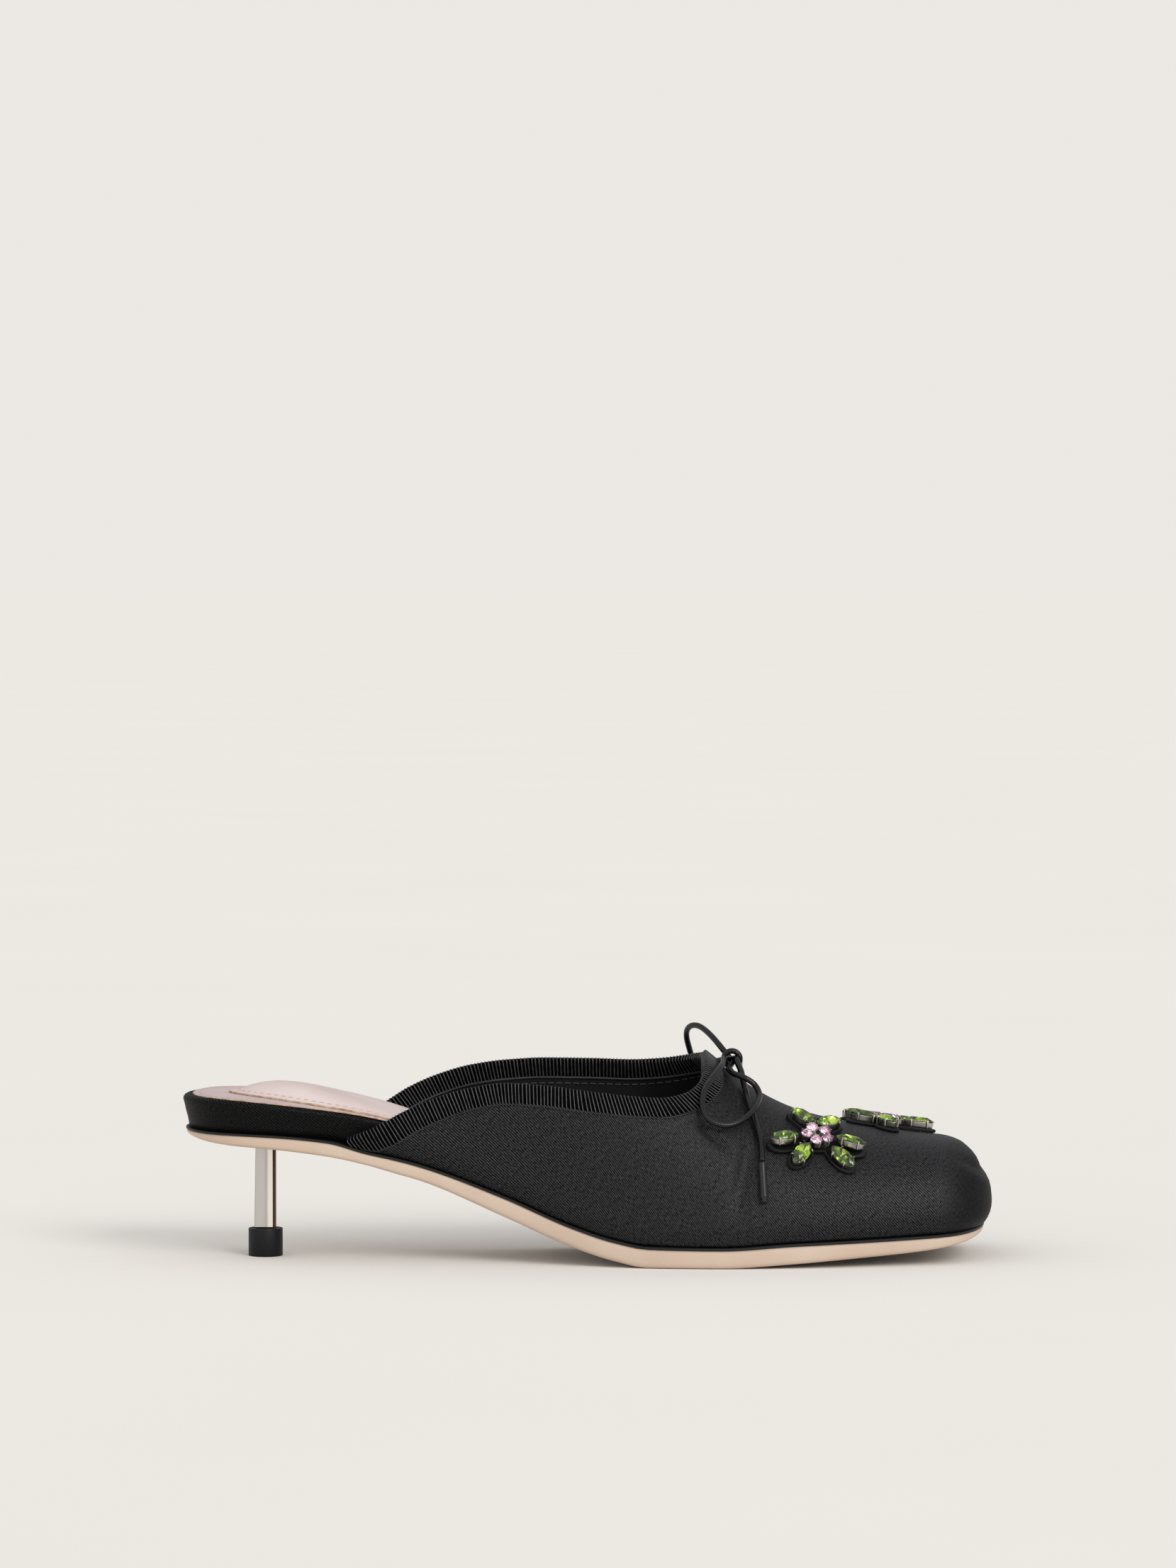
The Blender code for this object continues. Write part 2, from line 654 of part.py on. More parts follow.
def build_binding(tree, finish, parent):
    """Ribbon folded over the topline: outer leg, fold and inner leg follow the wall."""
    edges = [edge for edge, _ in pattern_columns()]
    front = range(WING_STEPS, len(edges) - WING_STEPS)
    path = [on_last(*edge) for i, edge in enumerate(edges) if i not in front or (i - WING_STEPS) % 2 == 0]
    rings = []
    for i, point in enumerate(path):
        ahead = (path[min(i + 1, len(path) - 1)] - path[max(i - 1, 0)]).normalized()
        _, normal = lifted(tree, point, 0.0)
        down = normal.cross(ahead).normalized()
        if down.z > 0:
            down = -down
        slope = (PROFILE.at("rand_top", point.x + 0.002) - PROFILE.at("rand_top", point.x)) / 0.002
        floor = PROFILE.at("rand_top", point.x) + 2 * GAP
        room = (point.z - floor) / max(slope * down.x - down.z, 0.2)
        outer = min(RIBBON_OUTER_DEPTH, max(room, 0.0006))
        bed = insole_top(point.x) + 2 * GAP
        inner = min(RIBBON_INNER_DEPTH, max((point.z - bed) / max(-down.z, 0.2), 0.0005))
        fold = RIBBON * (0.5 + 0.5 * min(max((inner - 0.0005) / 0.004, 0.0), 1.0))
        out_near = RIBBON_GAP
        out_far = RIBBON_GAP + RIBBON
        in_near = -(WALL + RIBBON_GAP)
        in_far = in_near - fold
        section = (
            (outer, out_near), (outer, out_far), (outer / 2, out_far), (0.0, out_far),
            (-RIBBON_GAP - RIBBON, out_near), (-RIBBON_GAP - RIBBON, in_near),
            (0.0, in_far), (inner, in_far), (inner, in_near), (0.0, in_near),
            (-RIBBON_GAP, in_near + RIBBON_GAP), (-RIBBON_GAP, 0.0),
            (0.0, out_near), (outer / 2, out_near),
        )
        rings.append([lifted(tree, point + down * depth, height)[0] for depth, height in section])
    bm = bmesh.new()
    loops = [[bm.verts.new(point) for point in ring] for ring in rings]
    count = len(loops[0])
    for lower, upper in zip(loops, loops[1:]):
        for i in range(count):
            j = (i + 1) % count
            bm.faces.new((lower[i], lower[j], upper[j], upper[i]))
    for loop in (loops[0], loops[-1]):
        for corners in ((0, 1, 2, 13), (13, 2, 3, 12), (12, 3, 4, 11), (11, 4, 5, 10),
                        (10, 5, 6, 9), (9, 6, 7, 8)):
            bm.faces.new([loop[k] for k in corners])
    return add_object("collar_binding", mesh_from(bm, "collar_binding"), finish, parent)


def smooth_route(route):
    """Evenly spaced points of the smooth curve through a route."""
    points = np.array(route)
    along = np.concatenate([[0.0], np.cumsum(np.linalg.norm(np.diff(points, axis=0), axis=1))])
    table = Table(("along", "x", "y", "z"), np.column_stack([along, points]))
    count = max(3, round(along[-1] / CORD_STEP))
    return [tuple(table.at(axis, at) for axis in "xyz") for at in np.linspace(0, along[-1], count + 1)]


def build_cord(name, route, finish, parent):
    curve = bpy.data.curves.new(name, "CURVE")
    curve.dimensions = "3D"
    curve.bevel_depth = CORD_RADIUS
    curve.bevel_resolution = 2
    curve.use_fill_caps = True
    points = smooth_route(route)
    spline = curve.splines.new("POLY")
    spline.points.add(len(points) - 1)
    for place, point in zip(spline.points, points):
        place.co = (*point, 1.0)
    return add_object(name, curve, finish, parent)


def build_bow(cord, tube, parent):
    """Knot, two loops, two ends and the tube on each end."""
    bm = bmesh.new()
    bmesh.ops.create_icosphere(bm, subdivisions=2, radius=1.0, matrix=Matrix.Diagonal((*KNOT_RADII, 1.0)))
    knot = add_object("bow_knot", mesh_from(bm, "bow_knot"), cord, parent)
    knot.location = KNOT_CENTRE
    for name, route in BOW_ROUTES.items():
        build_cord(name, route, cord, parent)
    for side, finish_point in AGLET_ENDS.items():
        start = Vector(BOW_ROUTES["bow_end_" + side][-1])
        along = (Vector(finish_point) - start).normalized()
        bm = bmesh.new()
        bmesh.ops.create_cone(bm, cap_ends=True, segments=10, radius1=AGLET_RADIUS, radius2=AGLET_RADIUS,
                              depth=AGLET_LENGTH)
        aglet = add_object("bow_aglet_" + side, mesh_from(bm, "bow_aglet_" + side), tube, parent)
        aglet.location = start + along * (2 * GAP + AGLET_LENGTH / 2)
        aglet.rotation_mode = "QUATERNION"
        aglet.rotation_quaternion = along.to_track_quat("Z", "Y")


def stacked(name, rings):
    """Solid through loops lying over each other, closed flat at both ends."""
    bm = bmesh.new()
    loops = [[bm.verts.new(point) for point in ring] for ring in rings]
    count = len(loops[0])
    for lower, upper in zip(loops, loops[1:]):
        for i in range(count):
            j = (i + 1) % count
            bm.faces.new((lower[i], lower[j], upper[j], upper[i]))
    bm.faces.new(loops[0])
    bm.faces.new(loops[-1])
    return mesh_from(bm, name)


def navette_ring(scale, height):
    """Pointed oval loop of a navette stone."""
    ring = []
    for angle in np.linspace(0, 2 * math.pi, 12, endpoint=False):
        along = scale * NAVETTE_LENGTH / 2 * math.cos(angle)
        across = scale * NAVETTE_WIDTH / 2 * math.sin(angle) * abs(math.sin(angle)) ** 0.25
        ring.append((along, across, height))
    return ring


def round_ring(radius, height, count):
    angles = np.linspace(0, 2 * math.pi, count, endpoint=False)
    return [(radius * math.cos(angle), radius * math.sin(angle), height) for angle in angles]


class FlowerFrame:
    """Flat frame of a flower over the curved vamp."""

    def __init__(self, tree, x, y, turn):
        self.tree = tree
        self.centre, self.normal, _, _ = tree.ray_cast(Vector((x, y, 0.2)), Vector((0, 0, -1)))
        ahead = Vector((1, 0, 0))
        self.ahead = (ahead - self.normal * ahead.dot(self.normal)).normalized()
        self.aside = self.normal.cross(self.ahead)
        self.turn = turn

    def spread(self, bearing, reach):
        angle = math.radians(bearing + self.turn)
        return self.centre + (math.cos(angle) * self.ahead + math.sin(angle) * self.aside) * reach

    def seat(self, bearing, reach, axis, height):
        """Placing of a piece that lies on the vamp at a height, its x along the axis bearing."""
        place, normal = lifted(self.tree, self.spread(bearing, reach), height)
        angle = math.radians(axis + self.turn)
        along = math.cos(angle) * self.ahead + math.sin(angle) * self.aside
        along = (along - normal * along.dot(normal)).normalized()
        across = normal.cross(along)
        turned = Matrix((along, across, normal)).transposed().to_4x4()
        return Matrix.Translation(place) @ turned


def heading(bearing):
    angle = math.radians(bearing)
    return np.array((math.cos(angle), math.sin(angle)))


def backing_reach(bearing):
    """Edge of the lobed backing in a direction from the flower's centre."""
    reach = BACKING_CORE
    halves = np.array((NAVETTE_LENGTH, NAVETTE_WIDTH)) / 2 + BACKING_MARGIN
    for petal in PETALS:
        axes = np.array((heading(petal.axis), heading(petal.axis + 90.0)))
        ray = axes @ heading(bearing) / halves
        middle = axes @ heading(petal.bearing) * petal.reach / halves
        along = ray @ middle
        root = along * along - (ray @ ray) * (middle @ middle - 1)
        if root > 0:
            reach = max(reach, (along + math.sqrt(root)) / (ray @ ray))
    return float(reach)


def build_backing(name, frame, finish, parent):
    """Lobed plate that follows the vamp."""
    bearings = np.linspace(0, 360, BACKING_STEPS, endpoint=False)
    bm = bmesh.new()
    sheets = []
    for height in (BACKING_GAP, BACKING_GAP + BACKING_THICKNESS):
        middle = bm.verts.new(lifted(frame.tree, frame.centre, height)[0])
        loops = []
        for share in (0.5, 1.0):
            places = [frame.spread(bearing, share * backing_reach(bearing)) for bearing in bearings]
            loops.append([bm.verts.new(lifted(frame.tree, place, height)[0]) for place in places])
        sheets.append((middle, loops))
    for i in range(BACKING_STEPS):
        j = (i + 1) % BACKING_STEPS
        for middle, (inner, outer) in sheets:
            bm.faces.new((middle, inner[i], inner[j]))
            bm.faces.new((inner[i], outer[i], outer[j], inner[j]))
        lower = sheets[0][1][1]
        upper = sheets[1][1][1]
        bm.faces.new((lower[i], lower[j], upper[j], upper[i]))
    return add_object(name, mesh_from(bm, name), finish, parent)


def build_flower(name, frame, finishes, parent):
    """Backing, six navettes in cups and five round stones on one seat."""
    felt, silver, green, pink = finishes
    build_backing(name + "_backing", frame, felt, parent)
    cup_at = BACKING_GAP + BACKING_THICKNESS + GAP
    stone_at = cup_at + CUP_HEIGHT + GAP
    cup = [navette_ring(0.92, 0.0), navette_ring(1.02, CUP_HEIGHT)]
    stone = [navette_ring(0.86, 0.0), navette_ring(1.0, 0.36 * NAVETTE_HEIGHT),
             navette_ring(0.56, NAVETTE_HEIGHT)]
    layers = (("setting", cup, silver, cup_at), ("navette", stone, green, stone_at))
    for number, petal in enumerate(PETALS, start=1):
        for label, rings, finish, height in layers:
            node = f"{name}_{label}_{number}"
            piece = add_object(node, stacked(node, rings), finish, parent)
            piece.matrix_world = frame.seat(petal.bearing, petal.reach, petal.axis, height)
    node = name + "_centre_seat"
    seat = stacked(node, [round_ring(SEAT_RADIUS, 0.0, 20), round_ring(SEAT_RADIUS, CUP_HEIGHT, 20)])
    centre = frame.seat(0.0, 0.0, 0.0, cup_at + GAP)
    add_object(node, seat, silver, parent).matrix_world = centre
    gem = [round_ring(0.85 * ROUND_RADIUS, 0.0, 8), round_ring(ROUND_RADIUS, 0.4 * ROUND_HEIGHT, 8),
           round_ring(0.55 * ROUND_RADIUS, ROUND_HEIGHT, 8)]
    for number in range(1, ROUND_COUNT + 1):
        node = f"{name}_round_{number}"
        across, aside = ROUND_RING * heading(ROUND_TURN + 360 / ROUND_COUNT * (number - 1))
        piece = add_object(node, stacked(node, gem), pink, parent)
        piece.matrix_world = centre @ Matrix.Translation((across, aside, CUP_HEIGHT + GAP))


def main():
    clear_scene()
    shoe = bpy.data.objects.new("mule", None)
    bpy.context.scene.collection.objects.link(shoe)
    satin = material("black_satin", (0.012, 0.012, 0.014), 0.45)
    ribbon = material("black_grosgrain", (0.02, 0.02, 0.022), 0.6)
    nude = material("nude_leather", (0.72, 0.55, 0.42), 0.5)
    edge = material("black_edge_paint", (0.015, 0.015, 0.016), 0.5)
    pink = material("pink_leather", (0.67, 0.54, 0.52), 0.55)
    steel = material("brushed_steel", (0.62, 0.62, 0.63), 0.28, 1.0)
    rubber = material("black_rubber", (0.02, 0.02, 0.02), 0.55)
    cord = material("black_cord", (0.02, 0.02, 0.022), 0.6)
    tube = material("black_aglet", (0.02, 0.02, 0.02), 0.3)
    felt = material("black_felt", (0.01, 0.01, 0.011), 0.9)
    silver = material("silver_setting", (0.75, 0.74, 0.72), 0.2, 1.0)
    green = material("green_crystal", (0.35, 0.55, 0.08), 0.05)
    rose = material("pink_crystal", (0.75, 0.45, 0.60), 0.05)
    build_outsole(nude, shoe)
    build_rand(edge, shoe)
    build_footbed(satin, shoe)
    build_insole(pink, shoe)
    build_heel_pad(pink, shoe)
    build_heel(steel, rubber, shoe)
    tree = last_tree()
    build_upper(tree, satin, shoe)
    build_binding(tree, ribbon, shoe)
    build_bow(cord, tube, shoe)
    for side, (x, y, turn) in FLOWERS.items():
        build_flower("flower_" + side, FlowerFrame(tree, x, y, turn), (felt, silver, green, rose), shoe)


main()
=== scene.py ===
"""Heeled mule in black satin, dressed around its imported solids.

The toe points along +X, the outer (lateral) side faces -Y and the shoe stands on z = 0.
Every surface is worked out from the solids' outline, profile, last sections and topline, only
finer, and the sole's edge lines lie a little lower. All sizes are in metres unless a name says
otherwise.
"""
import logging
import math
from dataclasses import dataclass, field
from enum import Enum
from functools import partial
from typing import Callable, NamedTuple, Sequence

import bmesh
import bpy
import numpy as np
from mathutils import Matrix, Vector
from mathutils.bvhtree import BVHTree
from mathutils.interpolate import poly_3d_calc


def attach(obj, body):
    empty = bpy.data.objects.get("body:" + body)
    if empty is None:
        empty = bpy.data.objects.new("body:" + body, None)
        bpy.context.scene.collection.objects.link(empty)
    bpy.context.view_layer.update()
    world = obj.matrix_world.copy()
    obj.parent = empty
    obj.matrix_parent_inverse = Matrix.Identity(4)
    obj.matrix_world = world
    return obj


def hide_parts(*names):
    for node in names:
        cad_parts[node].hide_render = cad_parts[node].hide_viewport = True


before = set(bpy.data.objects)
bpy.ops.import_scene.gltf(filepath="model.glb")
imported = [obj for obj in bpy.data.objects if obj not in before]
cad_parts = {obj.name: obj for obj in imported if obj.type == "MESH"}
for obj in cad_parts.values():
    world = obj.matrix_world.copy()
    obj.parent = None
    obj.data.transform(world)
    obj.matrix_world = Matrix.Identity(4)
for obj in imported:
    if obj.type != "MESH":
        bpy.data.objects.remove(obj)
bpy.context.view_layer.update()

LOG = logging.getLogger("mule")
BODY = "root"
MM = 0.001
Point = Sequence[float]
Curve = Callable[[float], float]
Faces = list[tuple[int, ...]]


class Side(Enum):
    """Side of the shoe and its sign along Y."""

    LATERAL = -1.0
    MEDIAL = 1.0

    @property
    def label(self) -> str:
        """Name used in tables and node names."""
        return self.name.lower()


class Slope(Enum):
    """How a table is smoothed between its rows."""

    SPLINE = "spline"
    MONOTONE = "monotone"


class Table:
    """Rows of sections read as smooth columns over the first one."""

    def __init__(self, names: Sequence[str], rows: Sequence[Point], slope: Slope = Slope.SPLINE) -> None:
        """Take the rows in and find each column's slopes.

        Args:
            names: column names, the first one for the running value.
            rows: one row for each section.
            slope: smoothing between the rows.
        """
        data = np.array(rows, dtype=float)
        self.x = data[:, 0]
        find = self.monotone_slopes if slope is Slope.MONOTONE else self.spline_slopes
        self.columns = {}
        for index, name in enumerate(names[1:], start=1):
            self.columns[name] = (data[:, index], find(self.x, data[:, index]))

    def at(self, name: str, x: float) -> float:
        """Read a column.

        Args:
            name: the column.
            x: running value, held inside the table.

        Returns:
            The smooth value there.
        """
        values, slopes = self.columns[name]
        x = min(max(x, self.x[0]), self.x[-1])
        row = int(np.clip(np.searchsorted(self.x, x) - 1, 0, len(self.x) - 2))
        span = self.x[row + 1] - self.x[row]
        u = (x - self.x[row]) / span
        start = (1 + 2 * u) * (1 - u) ** 2 * values[row] + u * (1 - u) ** 2 * span * slopes[row]
        finish = u * u * (3 - 2 * u) * values[row + 1] + u * u * (u - 1) * span * slopes[row + 1]
        return float(start + finish)

    @staticmethod
    def monotone_slopes(x: np.ndarray, y: np.ndarray) -> np.ndarray:
        """Slopes that keep flat rows flat and never overshoot.

        Args:
            x: running values.
            y: a column.

        Returns:
            One slope for each row.
        """
        step = np.diff(x)
        rate = np.diff(y) / step
        slopes = np.zeros(len(x))
        slopes[0] = rate[0]
        slopes[-1] = rate[-1]
        for i in range(1, len(x) - 1):
            if rate[i - 1] * rate[i] > 0:
                before = 2 * step[i] + step[i - 1]
                after = step[i] + 2 * step[i - 1]
                slopes[i] = (before + after) / (before / rate[i - 1] + after / rate[i])
        return slopes

    @staticmethod
    def spline_slopes(x: np.ndarray, y: np.ndarray) -> np.ndarray:
        """Slopes of the natural cubic spline through the rows.

        Args:
            x: running values.
            y: a column.

        Returns:
            One slope for each row.
        """
        count = len(x)
        step = np.diff(x)
        rate = np.diff(y) / step
        matrix = np.zeros((count, count))
        target = np.zeros(count)
        matrix[0, :2] = (2, 1)
        matrix[-1, -2:] = (1, 2)
        target[0] = 3 * rate[0]
        target[-1] = 3 * rate[-1]
        for i in range(1, count - 1):
            matrix[i, i - 1] = 1 / step[i - 1]
            matrix[i, i] = 2 / step[i - 1] + 2 / step[i]
            matrix[i, i + 1] = 1 / step[i]
            target[i] = 3 * (rate[i - 1] / step[i - 1] + rate[i] / step[i])
        return np.linalg.solve(matrix, target)


# Half widths of the sole edge from the heel's long axis
OUTLINE = Table(("x", "lateral", "medial"), (
    (-0.097, 0.0262, 0.0258),
    (-0.080, 0.0257, 0.0243),
    (-0.060, 0.0249, 0.0217),
    (-0.040, 0.0252, 0.0199),
    (-0.020, 0.0277, 0.0200),
    (0.000, 0.0322, 0.0233),
    (0.020, 0.0361, 0.0291),
    (0.040, 0.0376, 0.0344),
    (0.060, 0.0366, 0.0373),
    (0.080, 0.0334, 0.0370),
    (0.104, 0.0280, 0.0336),
))

# Side profile: the outsole top dips where the wings are lasted under
PROFILE = Table(("x", "rand_top", "outsole_top", "outsole_bottom", "footbed_top"), (
    (-0.123, 0.03995, 0.03900, 0.03820, 0.0505),
    (-0.115, 0.03975, 0.03880, 0.03640, 0.0505),
    (-0.107, 0.03965, 0.03870, 0.03555, 0.0502),
    (-0.098, 0.03930, 0.03835, 0.03485, 0.0495),
    (-0.078, 0.03740, 0.03645, 0.03230, 0.0470),
    (-0.067, 0.03425, 0.03330, 0.02990, 0.0452),
    (-0.058, 0.03220, 0.03125, 0.02725, 0.0431),
    (-0.050, 0.03005, 0.02910, 0.02490, 0.0408),
    (-0.025, 0.02085, 0.01990, 0.01430, 0.0310),
    (-0.005, 0.01245, 0.01150, 0.00580, 0.0217),
    (0.008, 0.00840, 0.00745, 0.00180, 0.0161),
    (0.018, 0.00665, 0.00570, 0.00000, 0.0128),
    (0.040, 0.00635, 0.00540, 0.00000, 0.0102),
    (0.060, 0.00750, 0.00655, 0.00110, 0.0113),
    (0.080, 0.00825, 0.00730, 0.00260, 0.0122),
    (0.100, 0.00905, 0.00810, 0.00430, 0.0132),
    (0.112, 0.00975, 0.00880, 0.00610, 0.0141),
    (0.121, 0.01055, 0.00960, 0.00840, 0.0149),
), Slope.MONOTONE)

# Last sections: ridge line, squareness of the arch and roll of the wall beyond the feather
SECTIONS = Table(("x", "crest_y", "crest_z", "squareness", "roll"), (
    (-0.075, 0.0010, 0.1000, 2.30, 0.0023),
    (-0.050, 0.0015, 0.1000, 2.30, 0.0022),
    (-0.020, 0.0025, 0.0960, 2.25, 0.0018),
    (0.005, 0.0035, 0.0855, 2.20, 0.0014),
    (0.020, 0.0042, 0.0745, 2.15, 0.0012),
    (0.036, 0.0046, 0.0614, 2.10, 0.0011),
    (0.046, 0.0046, 0.0536, 2.12, 0.0011),
    (0.056, 0.0045, 0.0474, 2.18, 0.0011),
    (0.067, 0.0042, 0.0430, 2.26, 0.0012),
    (0.078, 0.0038, 0.0405, 2.38, 0.0013),
    (0.090, 0.0033, 0.0384, 2.50, 0.0015),
    (0.104, 0.0028, 0.0366, 2.62, 0.0018),
))

# Height of the wall's cut edge along the topline
COLLAR = Table(("x", "lateral", "medial"), (
    (-0.0705, 0.0380, 0.0392),
    (-0.0615, 0.0425, 0.0451),
    (-0.0550, 0.0461, 0.0493),
    (-0.0460, 0.0498, 0.0534),
    (-0.0360, 0.0528, 0.0564),
    (-0.0250, 0.0544, 0.0580),
    (-0.0140, 0.0539, 0.0586),
    (0.0010, 0.0521, 0.0583),
    (0.0140, 0.0507, 0.0578),
    (0.0220, 0.0502, 0.0582),
    (0.0290, 0.0513, 0.0592),
    (0.0335, 0.0541, 0.0602),
    (0.0352, 0.0569, 0.0607),
    (0.0357, 0.0620, 0.0620),
), Slope.MONOTONE)

# Ribbon on the outside: its depth under the topline and how far its ribs lean toward the toe
RIBBON = Table(("x", "depth", "lean"), (
    (-0.0750, 0.0074, 0.03),
    (-0.0600, 0.0069, 0.05),
    (-0.0450, 0.0062, 0.08),
    (-0.0300, 0.0058, 0.09),
    (-0.0120, 0.0057, 0.12),
    (0.0060, 0.0057, 0.44),
    (0.0250, 0.0057, 0.44),
    (0.0320, 0.0058, 0.15),
    (0.0357, 0.0059, 0.0),
), Slope.MONOTONE)

# How far the footbed lies inside the sole edge at its foot and at its top
FOOTBED_INSET = Table(("x", "foot", "top"), (
    (-0.123, 0.0010, -0.0009),
    (-0.090, 0.0010, -0.0009),
    (-0.072, 0.0035, 0.0016),
    (-0.050, 0.0036, 0.0026),
    (0.121, 0.0034, 0.0034),
), Slope.MONOTONE)

# How far the insole lies inside the sole edge
INSOLE_INSET = Table(("x", "edge"), (
    (-0.123, 0.0022),
    (-0.113, 0.0010),
    (-0.092, 0.0003),
    (-0.072, 0.0024),
    (-0.050, 0.0032),
    (0.121, 0.0038),
), Slope.MONOTONE)

# Heel pad: half widths from its own axis and how far its crown stands over its edge
HEEL_PAD = Table(("x", "lateral", "medial", "crown"), (
    (-0.1090, 0.0004, 0.0004, 0.0003),
    (-0.1086, 0.0023, 0.0023, 0.0004),
    (-0.1080, 0.0037, 0.0037, 0.0007),
    (-0.1065, 0.0058, 0.0058, 0.0016),
    (-0.1000, 0.0110, 0.0110, 0.0031),
    (-0.0930, 0.0142, 0.0140, 0.0035),
    (-0.0880, 0.0160, 0.0155, 0.0034),
    (-0.0720, 0.0192, 0.0172, 0.0024),
    (-0.0600, 0.0201, 0.0165, 0.0018),
    (-0.0500, 0.0200, 0.0150, 0.0013),
    (-0.0360, 0.0160, 0.0110, 0.0007),
    (-0.0310, 0.0090, 0.0060, 0.0006),
    (-0.0295, 0.0004, 0.0004, 0.0002),
), Slope.MONOTONE)


# Lift of the cloth down the toe's front from the point where the ridge ends
TOE_FOLD = Table(("reach", "lift"), (
    (0.0000, 0.0),
    (0.0110, 0.0),
    (0.0130, -0.00025),
    (0.0165, -0.00045),
    (0.0192, -0.00085),
    (0.0210, -0.00115),
    (0.0228, -0.00070),
    (0.0245, -0.00015),
    (0.0262, 0.00010),
    (0.0290, 0.0),
    (0.0315, -0.00005),
    (0.0340, 0.00035),
    (0.0372, 0.00090),
), Slope.MONOTONE)


class Petal(NamedTuple):
    """Navette of a flower: bearing and reach of its middle, bearing of its axis, tilt about it."""

    bearing: float
    reach: float
    axis: float
    tilt: float = 0.0


PETALS = (
    Petal(115.0, 0.0096, 138.0),
    Petal(64.0, 0.0090, 36.0),
    Petal(203.0, 0.0110, 202.0, 27.0),
    Petal(240.0, 0.0096, 242.0),
    Petal(346.0, 0.0104, 346.0, 27.0),
    Petal(315.0, 0.0110, 315.0),
)

# Routes of the bow, each starting at the knot
BOW_ROUTES = {
    "bow_loop_lateral": (
        (0.0417, -0.0007, 0.0603), (0.0410, -0.0065, 0.0597), (0.0402, -0.0124, 0.0587),
        (0.0383, -0.0175, 0.0568), (0.0366, -0.0211, 0.0548), (0.0351, -0.0241, 0.0525),
        (0.0343, -0.0268, 0.0497), (0.0344, -0.0290, 0.0472), (0.0355, -0.0303, 0.0448),
        (0.0384, -0.0308, 0.0430), (0.0419, -0.0303, 0.0425), (0.0456, -0.0285, 0.0436),
        (0.0490, -0.0249, 0.0459), (0.0511, -0.0193, 0.0486), (0.0514, -0.0139, 0.0512),
        (0.0502, -0.0122, 0.0531), (0.0484, -0.0122, 0.0545), (0.0463, -0.0118, 0.0555),
        (0.0442, -0.0105, 0.0562), (0.0429, -0.0080, 0.0570), (0.0426, -0.0045, 0.0576),
        (0.0437, -0.0005, 0.0585),
    ),
    "bow_loop_medial": (
        (0.0414, 0.0034, 0.0620), (0.0388, 0.0066, 0.0650), (0.0361, 0.0108, 0.0675),
        (0.0336, 0.0148, 0.0688), (0.0316, 0.0180, 0.0685), (0.0304, 0.0210, 0.0668),
        (0.0304, 0.0232, 0.0642), (0.0312, 0.0248, 0.0610), (0.0324, 0.0262, 0.0567),
        (0.0342, 0.0280, 0.0520), (0.0368, 0.0290, 0.0485), (0.0402, 0.0291, 0.0464),
        (0.0433, 0.0276, 0.0466), (0.0447, 0.0247, 0.0487), (0.0446, 0.0210, 0.0517),
        (0.0438, 0.0168, 0.0547), (0.0430, 0.0120, 0.0573), (0.0428, 0.0068, 0.0596),
    ),
    "bow_end_lateral": (
        (0.0450, -0.0010, 0.0600), (0.0454, -0.0032, 0.0587), (0.0463, -0.0055, 0.0568),
        (0.0467, -0.0080, 0.0549), (0.0473, -0.0106, 0.0523), (0.0479, -0.0149, 0.0498),
        (0.0487, -0.0189, 0.0471), (0.0494, -0.0210, 0.0453), (0.0501, -0.0232, 0.0432),
        (0.0508, -0.0255, 0.0409), (0.0514, -0.0275, 0.0387), (0.0519, -0.0302, 0.0353),
        (0.0519, -0.0328, 0.0319),
    ),
    "bow_end_medial": (
        (0.0460, 0.0056, 0.0594), (0.0463, 0.0097, 0.0578), (0.0466, 0.0141, 0.0554),
        (0.0470, 0.0186, 0.0524), (0.0477, 0.0231, 0.0486), (0.0486, 0.0268, 0.0444),
        (0.0496, 0.0299, 0.0397), (0.0505, 0.0327, 0.0345),
    ),
}
AGLET_ENDS = {
    Side.LATERAL: (0.0525, -0.0377, 0.0203),
    Side.MEDIAL: (0.0517, 0.0380, 0.0228),
}

# Aglet: its radius along it, with the pinch before its bead
AGLET = Table(("share", "radius"), (
    (0.0, 0.8), (0.03, 1.0), (0.1, 0.98), (0.5, 0.94), (0.86, 0.97), (0.905, 0.72), (0.93, 0.74), (0.965, 1.0),
    (0.99, 0.72), (1.0, 0.3),
), Slope.MONOTONE)


def linear(colour: str) -> tuple[float, float, float, float]:
    """Turn a colour to linear light.

    Args:
        colour: sRGB hex value such as #1a1a1c.

    Returns:
        Red, green, blue and a full alpha.
    """
    parts = [int(colour[i:i + 2], 16) / 255 for i in (1, 3, 5)]
    light = [p / 12.92 if p <= 0.04045 else ((p + 0.055) / 1.055) ** 2.4 for p in parts]
    return light[0], light[1], light[2], 1.0


def wire(tree: bpy.types.NodeTree, node: bpy.types.Node, inputs: dict) -> None:
    """Set a node's inputs.

    Args:
        tree: tree that the node is in.
        node: the node.
        inputs: values, sockets or nodes by input name or number; a node gives its first output.
    """
    for name, value in inputs.items():
        source = value.outputs[0] if isinstance(value, bpy.types.Node) else value
        if isinstance(source, bpy.types.NodeSocket):
            tree.links.new(source, node.inputs[name])
        else:
            node.inputs[name].default_value = source


def add_node(tree: bpy.types.NodeTree, kind: str, inputs: dict | None = None,
             stops: Sequence[tuple[float, str]] = (), **settings: object) -> bpy.types.Node:
    """Add a node with its settings and links.

    Args:
        tree: tree the node goes into.
        kind: node type name.
        inputs: what its inputs take.
        stops: place and hex colour of each stop of a colour ramp.
        settings: properties of the node.

    Returns:
        The new node.
    """
    made = tree.nodes.new(kind)
    for name, value in settings.items():
        setattr(made, name, value)
    wire(tree, made, inputs or {})
    if stops:
        elements = made.color_ramp.elements
        while len(elements) < len(stops):
            elements.new(0.5)
        for element, (place, colour) in zip(elements, stops):
            element.position = place
            element.color = linear(colour)
    return made


